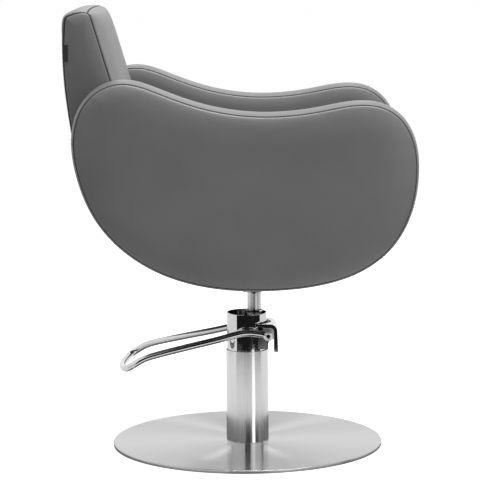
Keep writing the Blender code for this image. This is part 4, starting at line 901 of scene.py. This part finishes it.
def eye_profile():
    """Closed profile of a lever eye as radii and heights: a domed washer, a thin groove and a round rim."""
    face = -EYE_WIDTH / 2
    washer = EYE_GROOVE - EYE_GROOVE_WIDTH / 2
    half = []
    for share in np.linspace(0, 1, WASHER_STEPS):
        bulge = math.sin(math.pi * share)
        half.append((EYE_BORE + share * (washer - EYE_BORE), face - EYE_WASHER_RISE * (2 * bulge - 1)))
    half.append((EYE_GROOVE, face + EYE_GROOVE_DEPTH))
    half.append((EYE_GROOVE + EYE_GROOVE_WIDTH / 2, face))
    for angle in np.radians(np.linspace(270, 360, RIM_STEPS)):
        half.append((EYE_RADIUS + EYE_EDGE * (math.cos(angle) - 1), face + EYE_EDGE * (math.sin(angle) + 1)))
    profile = half + [(r, -h) for r, h in reversed(half)]
    return profile + profile[:1]


def round_rows(middle, profile):
    """Circles about an axis along Y, from a profile of radii and heights."""
    turn = np.linspace(0, 2 * np.pi, EYE_STEPS, endpoint=False)
    x, y, z = middle
    circle = np.stack([np.cos(turn), np.zeros(EYE_STEPS), np.sin(turn)], axis=1)
    return [r * circle + (x, y + h, z) for r, h in profile]


def build_lever(finish, eye_finish, pivot):
    """Chrome foot lever: a bent bar with an eye at each end."""
    eye_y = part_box("pivot_pin")[1].y + EYE_PAST_PIN - EYE_WIDTH / 2
    half = [(pivot[0] - back, -eye_y - out, pivot[2] + up) for back, out, up in LEVER_ROUTE]
    other = [(x, -y, z) for x, y, z in reversed(half)]
    path = spread(spline(half + other), BAR_POINTS, closed=False)
    lever = add_piece("foot_lever", [grid_part(bar_rows(path), capped=True)])
    for sign in SIDES.values():
        middle = (pivot[0], sign * eye_y, pivot[2])
        eye = grid_part(round_rows(middle, eye_profile()))
        boolean(lever, add_piece("eye", [eye], sharp=EYE_CREASE), "UNION")
        bore = round_rows(middle, ((EYE_BORE, -EYE_WIDTH), (EYE_BORE, EYE_WIDTH)))
        boolean(lever, add_piece("bore", [grid_part(bore, capped=True)]), "DIFFERENCE")
    tidy_mesh(lever.data)
    flatten_normals(lever)
    for face in lever.data.polygons:
        across = math.hypot(face.center.x - pivot[0], face.center.z - pivot[2])
        face.material_index = int(across < EYE_RADIUS - EYE_EDGE / 2 and abs(face.normal.y) > EYE_FACING)
    dress(lever, "pump_lever", finish, eye_finish)


def build_guard(finish, ear_finish, pivot):
    """Chrome guard over the pivot, with its two ears set back inside its bent edge."""
    guard = rounded_copy("lever_guard")
    low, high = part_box("lever_guard")
    points = places(NODES["lever_guard"])
    thickness = np.ptp(points[points[:, 2] < low.z + WELD, 0])
    corner_x = points[points[:, 2] > high.z - WELD, 0].max()
    front = points[points[:, 2] > pivot[2], 0].max()
    radius = front - corner_x
    band = thickness + GUARD_LINING
    lining = [(front - band, low.z), (front - thickness / 2, low.z), (front - thickness / 2, pivot[2]),
              (front - band, pivot[2])]
    boolean(guard, prism("lining", lining, low.y, high.y), "UNION")
    outline = [(low.x - band, high.z - band)]
    for angle in np.radians(np.linspace(90, 0, BEND_STEPS)):
        outline.append((corner_x + (radius - band) * math.cos(angle),
                        high.z - radius + (radius - band) * math.sin(angle)))
    outline += [(front - band, low.z), (low.x - band, low.z)]
    for side, sign in SIDES.items():
        near, far = sign * (high.y - EAR_SETBACK), sign * (high.y + EAR_SETBACK)
        boolean(guard, prism(f"recess_{side}", outline, near, far), "DIFFERENCE")
    round_edges(guard, GUARD_EDGE)
    for face in guard.data.polygons:
        set_back = abs(abs(face.center.y) - (high.y - EAR_SETBACK)) < WELD
        face.material_index = int(set_back and abs(face.normal.y) > EAR_FACING)
    dress(guard, "lever_guard", finish, ear_finish)


def rounded_copy(node):
    """A copy of a CAD node's mesh with its flat faces made whole, for its edges to be rounded."""
    piece = add_object(f"{node}_finished", NODES[node].data.copy())
    bm = bmesh.new()
    bm.from_mesh(piece.data)
    bmesh.ops.remove_doubles(bm, verts=bm.verts, dist=WELD)
    bmesh.ops.dissolve_limit(bm, angle_limit=FLAT, verts=bm.verts, edges=bm.edges)
    bm.to_mesh(piece.data)
    bm.free()
    return piece


def build_plates(finishes):
    """Plates and castings: the frame's shapes with their edges rounded."""
    for node, edge in PLATE_EDGES.items():
        piece = rounded_copy(node)
        round_edges(piece, edge)
        dress(piece, node, finishes[node])


def build_spring(finish):
    """Return spring of the plunger, which stands on the valve block."""
    spring = add_object("return_spring", NODES["plunger_spring"].data.copy())
    tidy_mesh(spring.data)
    dress(spring, "plunger_spring", finish)
    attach(spring, "base")
    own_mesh(spring)


# Materials

def add_node(tree, kind, *inputs, out=0, **values):
    """One output of a new node. Values are its settings or its inputs, which also take other outputs."""
    made = tree.nodes.new("ShaderNode" + kind)
    for key in [key for key in values if hasattr(made, key)]:
        setattr(made, key, values.pop(key))
    for key, value in (*enumerate(inputs), *values.items()):
        if isinstance(value, bpy.types.NodeSocket):
            tree.links.new(value, made.inputs[key])
        else:
            made.inputs[key].default_value = value
    return made.outputs[out]


def new_material(name, **values):
    """A material whose shader has the given values, and its node tree."""
    made = bpy.data.materials.new(name)
    made.use_nodes = True
    for key, value in values.items():
        made.node_tree.nodes["Principled BSDF"].inputs[key.replace("_", " ")].default_value = value
    return made, made.node_tree


def feed(tree, key, output):
    """Link an output to one of the shader's inputs."""
    tree.links.new(output, tree.nodes["Principled BSDF"].inputs[key])


def show(tree, shader):
    """Let a material show this shader instead of its own."""
    tree.links.new(shader, tree.nodes["Material Output"].inputs["Surface"])


def texture(tree, kind, where=None, **values):
    """A texture over a piece's own coordinates, or over others."""
    where = where or add_node(tree, "TexCoord", out="Object")
    return add_node(tree, "Tex" + kind, where, **values)


def vary(tree, key, factor, low, high, span=(0.3, 0.7)):
    """Let one of the shader's inputs go from a low to a high value over a span of a factor."""
    ramp = add_node(tree, "ValToRGB", factor)
    for element, place, value in zip(ramp.node.color_ramp.elements, span, (low, high)):
        element.position = place
        element.color = (*value, 1.0) if isinstance(value, tuple) else (value, value, value, 1.0)
    feed(tree, key, ramp)


def emboss(tree, height, strength, depth):
    """Surface relief from a height."""
    feed(tree, "Normal", add_node(tree, "Bump", Height=height, Strength=strength, Distance=depth))


def shade(colour, share):
    """A colour made darker or lighter."""
    return tuple(share * c for c in colour)


def leatherette(name, colour):
    """Grained artificial leather with a soft gloss."""
    made, tree = new_material(name, Specular_IOR_Level=0.5)
    soft = texture(tree, "Noise", Scale=7.0, Detail=3.0)
    cells = texture(tree, "Voronoi", feature="DISTANCE_TO_EDGE", Scale=620.0)
    fine = texture(tree, "Noise", Scale=1500.0, Detail=2.0)
    vary(tree, "Base Color", soft, shade(colour, 0.93), shade(colour, 1.06))
    vary(tree, "Roughness", fine, 0.40, 0.52, span=(0.25, 0.75))
    height = add_node(tree, "Math", cells, 1.2, fine, operation="MULTIPLY_ADD")
    emboss(tree, height, strength=0.10, depth=0.0004)
    return made


def metal(name, colour, roughness, uneven=0.03, relief=0.004):
    """Plain metal with slightly uneven gloss."""
    made, tree = new_material(name, Metallic=1.0)
    cloud = texture(tree, "Noise", Scale=60.0, Detail=4.0)
    vary(tree, "Base Color", cloud, shade(colour, 0.95), colour)
    vary(tree, "Roughness", cloud, max(0.0, roughness - uneven), roughness + uneven)
    emboss(tree, cloud, strength=relief, depth=0.001)
    return made


def brushed(name, colour, roughness, circular):
    """Brushed stainless steel, with its lines round the axis or along it."""
    made, tree = new_material(name, Metallic=1.0, Anisotropic=1.0, Anisotropic_Rotation=0.25)
    where = add_node(tree, "TexCoord", out="Object")
    if circular:
        split = add_node(tree, "SeparateXYZ", where).node.outputs
        flat = add_node(tree, "CombineXYZ", split["X"], split["Y"])
        reach = add_node(tree, "VectorMath", flat, operation="LENGTH", out="Value")
        lines = add_node(tree, "TexNoise", noise_dimensions="1D", W=reach, Scale=900.0, Detail=6.0)
    else:
        stretch = add_node(tree, "Mapping", where, Scale=(700.0, 700.0, 6.0))
        lines = texture(tree, "Noise", stretch, Scale=1.0, Detail=5.0)
    vary(tree, "Base Color", lines, shade(colour, 0.90), colour)
    vary(tree, "Roughness", lines, roughness - 0.05, roughness + 0.05)
    feed(tree, "Tangent", add_node(tree, "Tangent", direction_type="RADIAL", axis="Z"))
    emboss(tree, lines, strength=0.02, depth=0.0003)
    return made


def matt(name, colour, roughness, scale=90.0, relief=0.05):
    """Painted, cast, rubber or woven surface with a fine grain."""
    made, tree = new_material(name)
    grain = texture(tree, "Noise", Scale=scale, Detail=5.0)
    vary(tree, "Base Color", grain, shade(colour, 0.85), shade(colour, 1.15))
    vary(tree, "Roughness", grain, roughness - 0.06, roughness + 0.06)
    emboss(tree, grain, strength=relief, depth=0.0006)
    return made


def plywood(name, dark, light):
    """Stained plywood with its layers."""
    made, tree = new_material(name)
    where = add_node(tree, "TexCoord", out="Object")
    stretch = add_node(tree, "Mapping", where, Scale=(4.0, 60.0, 60.0))
    grain = texture(tree, "Noise", stretch, Scale=2.0, Detail=6.0)
    layers = texture(tree, "Wave", where, bands_direction="Z", Scale=110.0, Distortion=0.6, out="Fac")
    wood = add_node(tree, "Math", layers, 0.25, grain, operation="MULTIPLY_ADD")
    vary(tree, "Base Color", wood, dark, light, span=(0.3, 0.9))
    vary(tree, "Roughness", grain, 0.55, 0.72)
    emboss(tree, grain, strength=0.06, depth=0.0005)
    return made


def make_finishes():
    """The material of each node, from one for each of the record's slots, and the painted shade in the
    seams.
    """
    made = {
        "leatherette": leatherette("grey_leatherette", (0.124, 0.124, 0.125)),
        "chrome": metal("polished_chrome", (0.66, 0.66, 0.67), 0.05),
        "steel": metal("zinc_steel", (0.46, 0.46, 0.47), 0.30, uneven=0.06, relief=0.02),
        "stainless": brushed("brushed_disc", (0.56, 0.56, 0.56), 0.22, circular=True),
        "dark_steel": matt("black_powder_coat", (0.022, 0.022, 0.024), 0.42, scale=700.0),
        "cast": matt("painted_casting", (0.045, 0.045, 0.048), 0.55),
        "bronze": metal("bearing_bronze", (0.50, 0.33, 0.15), 0.32, uneven=0.05, relief=0.02),
        "rubber": matt("black_rubber", (0.016, 0.016, 0.016), 0.75, scale=400.0),
        "plywood": plywood("stained_plywood", (0.035, 0.028, 0.022), (0.065, 0.052, 0.040)),
        "tape": matt("woven_tape", (0.012, 0.012, 0.013), 0.70, scale=1400.0, relief=0.2),
    }
    finishes = {node: made[slot] for node, slot in SLOTS.items()}
    finishes["column_sleeve"] = brushed("brushed_tube", (0.74, 0.74, 0.74), 0.125, circular=False)
    finishes["piston_rod"] = brushed("ground_rod", (0.66, 0.66, 0.67), 0.26, circular=False)
    finishes["pivot_bracket"] = metal("plated_bracket", (0.34, 0.34, 0.35), 0.14, relief=0.01)
    finishes["socket_screw_right"] = finishes["socket_screw_rear"] = made["steel"]
    finishes["lever_eye"] = metal("satin_washer", (0.80, 0.80, 0.81), 0.34, relief=0.01)
    # The seams' material is painted shade: near black where the fold of each seam lies in shadow.
    return finishes, matt("seam_fold_painted_shade", (0.012, 0.012, 0.012), 0.80, scale=900.0)


# Room, light and camera

def sheet(name, rows):
    """An open piece of quads between rows of points."""
    return add_piece(name, [grid_part(rows, closed=False)], sharp=CREASE)


def outward(turn):
    """Directions along the floor at angles from the camera's side."""
    return np.stack([np.sin(turn), -np.cos(turn)], axis=1)


def screen(name, material, angles, profile, steps=SCREEN_STEPS):
    """A screen round the chair: a profile of reaches and heights, turned between two angles."""
    out = outward(np.radians(np.linspace(*angles, steps)))
    rows = [np.insert(out * reach, 2, height, axis=1) for reach, height in profile]
    for_gloss(sheet(name, rows), material)


def for_gloss(piece, material):
    """Let only gloss see a piece of the room."""
    piece.data.materials.append(material)
    for ray in ("camera", "diffuse", "shadow", "transmission"):
        setattr(piece, f"visible_{ray}", False)


def upper_glow(name, strength):
    """A glow that shows only from above."""
    made, tree = new_material(name)
    height = add_node(tree, "SeparateXYZ", add_node(tree, "NewGeometry", out="Incoming"), out="Z")
    above = add_node(tree, "Math", height, 0.0, operation="GREATER_THAN")
    glow = add_node(tree, "Emission", Strength=strength)
    show(tree, add_node(tree, "MixShader", above, add_node(tree, "BsdfTransparent"), glow))
    return made


def build_floor():
    """White floor that keeps a faint shadow."""
    rows = [[(x * FLOOR_HALF, y * FLOOR_HALF, 0.0) for x in (-1, 1)] for y in (-1, 1)]
    floor = sheet("floor", rows)
    made, tree = new_material("white_floor", Base_Color=FLOOR_COLOUR, Roughness=0.9, Specular_IOR_Level=0.0)
    plain = tree.nodes["Principled BSDF"].outputs["BSDF"]
    path = add_node(tree, "LightPath").node.outputs
    lit = add_node(tree, "AddShader", plain, add_node(tree, "Emission", Strength=FLOOR_GLOW))
    seen = add_node(tree, "MixShader", path["Is Camera Ray"], plain, lit)
    white = add_node(tree, "Emission", Strength=FLOOR_MIRRORED)
    show(tree, add_node(tree, "MixShader", path["Is Glossy Ray"], seen, white))
    floor.data.materials.append(made)


def build_screens():
    """What only gloss mirrors of the studio: its dark end, a flag, a strip light and the base's shades."""
    dark, _ = new_material("dark_room", Base_Color=(0.01, 0.01, 0.01, 1.0), **DULL)
    screen("dark_floor", dark, DARK_ANGLES, ((DARK_START, DARK_LIFT), (DARK_END, DARK_LIFT)))
    screen("doorway", dark, DOOR_ANGLES, ((DARK_END, DARK_LIFT), (DARK_END, DARK_HEIGHT)))
    screen("flag_0", dark, FLAG_ANGLES, ((FLAG_REACH, DARK_LIFT), (FLAG_REACH, DARK_HEIGHT)))

    bright, tree = new_material("strip_light")
    show(tree, add_node(tree, "Emission", Strength=STRIP_GLOW))
    screen("strip_light", bright, STRIP_ANGLES, ((STRIP_REACH, STRIP_LIFT), (STRIP_REACH, STRIP_HEIGHT)))
    screen("strip_glow", bright, STRIP_ANGLES, [(reach, STRIP_LIFT) for reach in STRIP_FLOOR])

    # Glows over the disc, with edges that the sleeve mirrors as upright lines
    rim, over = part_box("base_cover")[1].x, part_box("base_cover")[1].z + FOOT_LIFT
    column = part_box("column_sleeve")[1].x
    for number, (start, end, glow) in enumerate(FOOT_GLOWS):
        turn = np.radians(np.linspace(start, end, SCREEN_STEPS))
        reach = np.sqrt(rim ** 2 - (column * np.sin(turn / 2)) ** 2) - column * np.cos(turn / 2)
        inner = column * outward(turn / 2)
        outer = inner + FOOT_SPAN * reach[:, None] * outward(turn)
        name = f"foot_glow_{number}"
        rows = [np.insert(row, 2, over, axis=1) for row in (inner, outer)]
        for_gloss(sheet(name, rows), upper_glow(name, glow))

    shadow, _ = new_material("contact_shadow", Base_Color=(*[CONTACT_SHADE] * 3, 1.0), **DULL)
    ring = ((rim, CONTACT_LIFT), (rim + CONTACT_WIDTH, CONTACT_LIFT))
    screen("contact_shadow", shadow, (-180, 180), ring, RING_STEPS)


def build_light():
    """Soft lamps, and surroundings that camera and gloss see as white."""
    world = bpy.data.worlds.new("studio")
    world.use_nodes = True
    bpy.context.scene.world = world
    tree = world.node_tree
    path = add_node(tree, "LightPath").node.outputs
    seen = path["Is Camera Ray"]
    for ray in ("Is Glossy Ray", "Is Transmission Ray"):
        seen = add_node(tree, "Math", seen, path[ray], operation="MAXIMUM")
    plain, white = (add_node(tree, "Background", WHITE, strength) for strength in (WORLD_GLOW, 1.0))
    mixed = add_node(tree, "MixShader", seen, plain, white)
    tree.links.new(mixed, tree.nodes["World Output"].inputs["Surface"])
    for name, place, target, size, watts, mirrored in LAMPS:
        data = bpy.data.lights.new(name, "AREA")
        data.shape = "SQUARE"
        data.size = size
        data.energy = watts
        lamp = add_object(name, data)
        lamp.location = place
        lamp.rotation_euler = (Vector(target) - Vector(place)).to_track_quat("-Z", "Y").to_euler()
        lamp.visible_glossy = mirrored


def build_camera():
    """Camera at the photograph's angle and distance."""
    data = bpy.data.cameras.new("photo_camera")
    data.sensor_width = SENSOR_MM
    data.lens = FOCAL_PIXELS * SENSOR_MM / PHOTO_PIXELS
    data.clip_end = CAMERA_SIGHT
    camera = add_object("photo_camera", data)
    tilt = Matrix.Rotation(math.pi / 2 - CAMERA_DOWN, 4, "X") @ Matrix.Rotation(CAMERA_ROLL, 4, "Z")
    camera.matrix_world = Matrix.Translation(CAMERA_PLACE) @ tilt
    bpy.context.scene.camera = camera
    bpy.context.scene.view_settings.view_transform = "Standard"


def build_scene():
    """The dressed chair in its room."""
    build_camera()
    finishes, seam_painted_shade = make_finishes()
    build_panels(finishes["right_side_panel"], seam_painted_shade)
    loop, half = build_back(finishes["backrest"], seam_painted_shade)
    build_tag(finishes["seam_tag"], loop, half)
    build_seat(finishes["seat_cushion"], seam_painted_shade)
    pivot = build_turned(finishes)
    build_head(finishes["pump_head"])
    build_lever(finishes["pump_lever"], finishes["lever_eye"], pivot)
    build_guard(finishes["lever_guard"], finishes["lever_eye"], pivot)
    build_plates(finishes)
    build_spring(finishes["plunger_spring"])
    for name, node in NODES.items():
        node.data.materials.clear()
        node.data.materials.append(finishes[name])
    build_floor()
    build_screens()
    build_light()


build_scene()
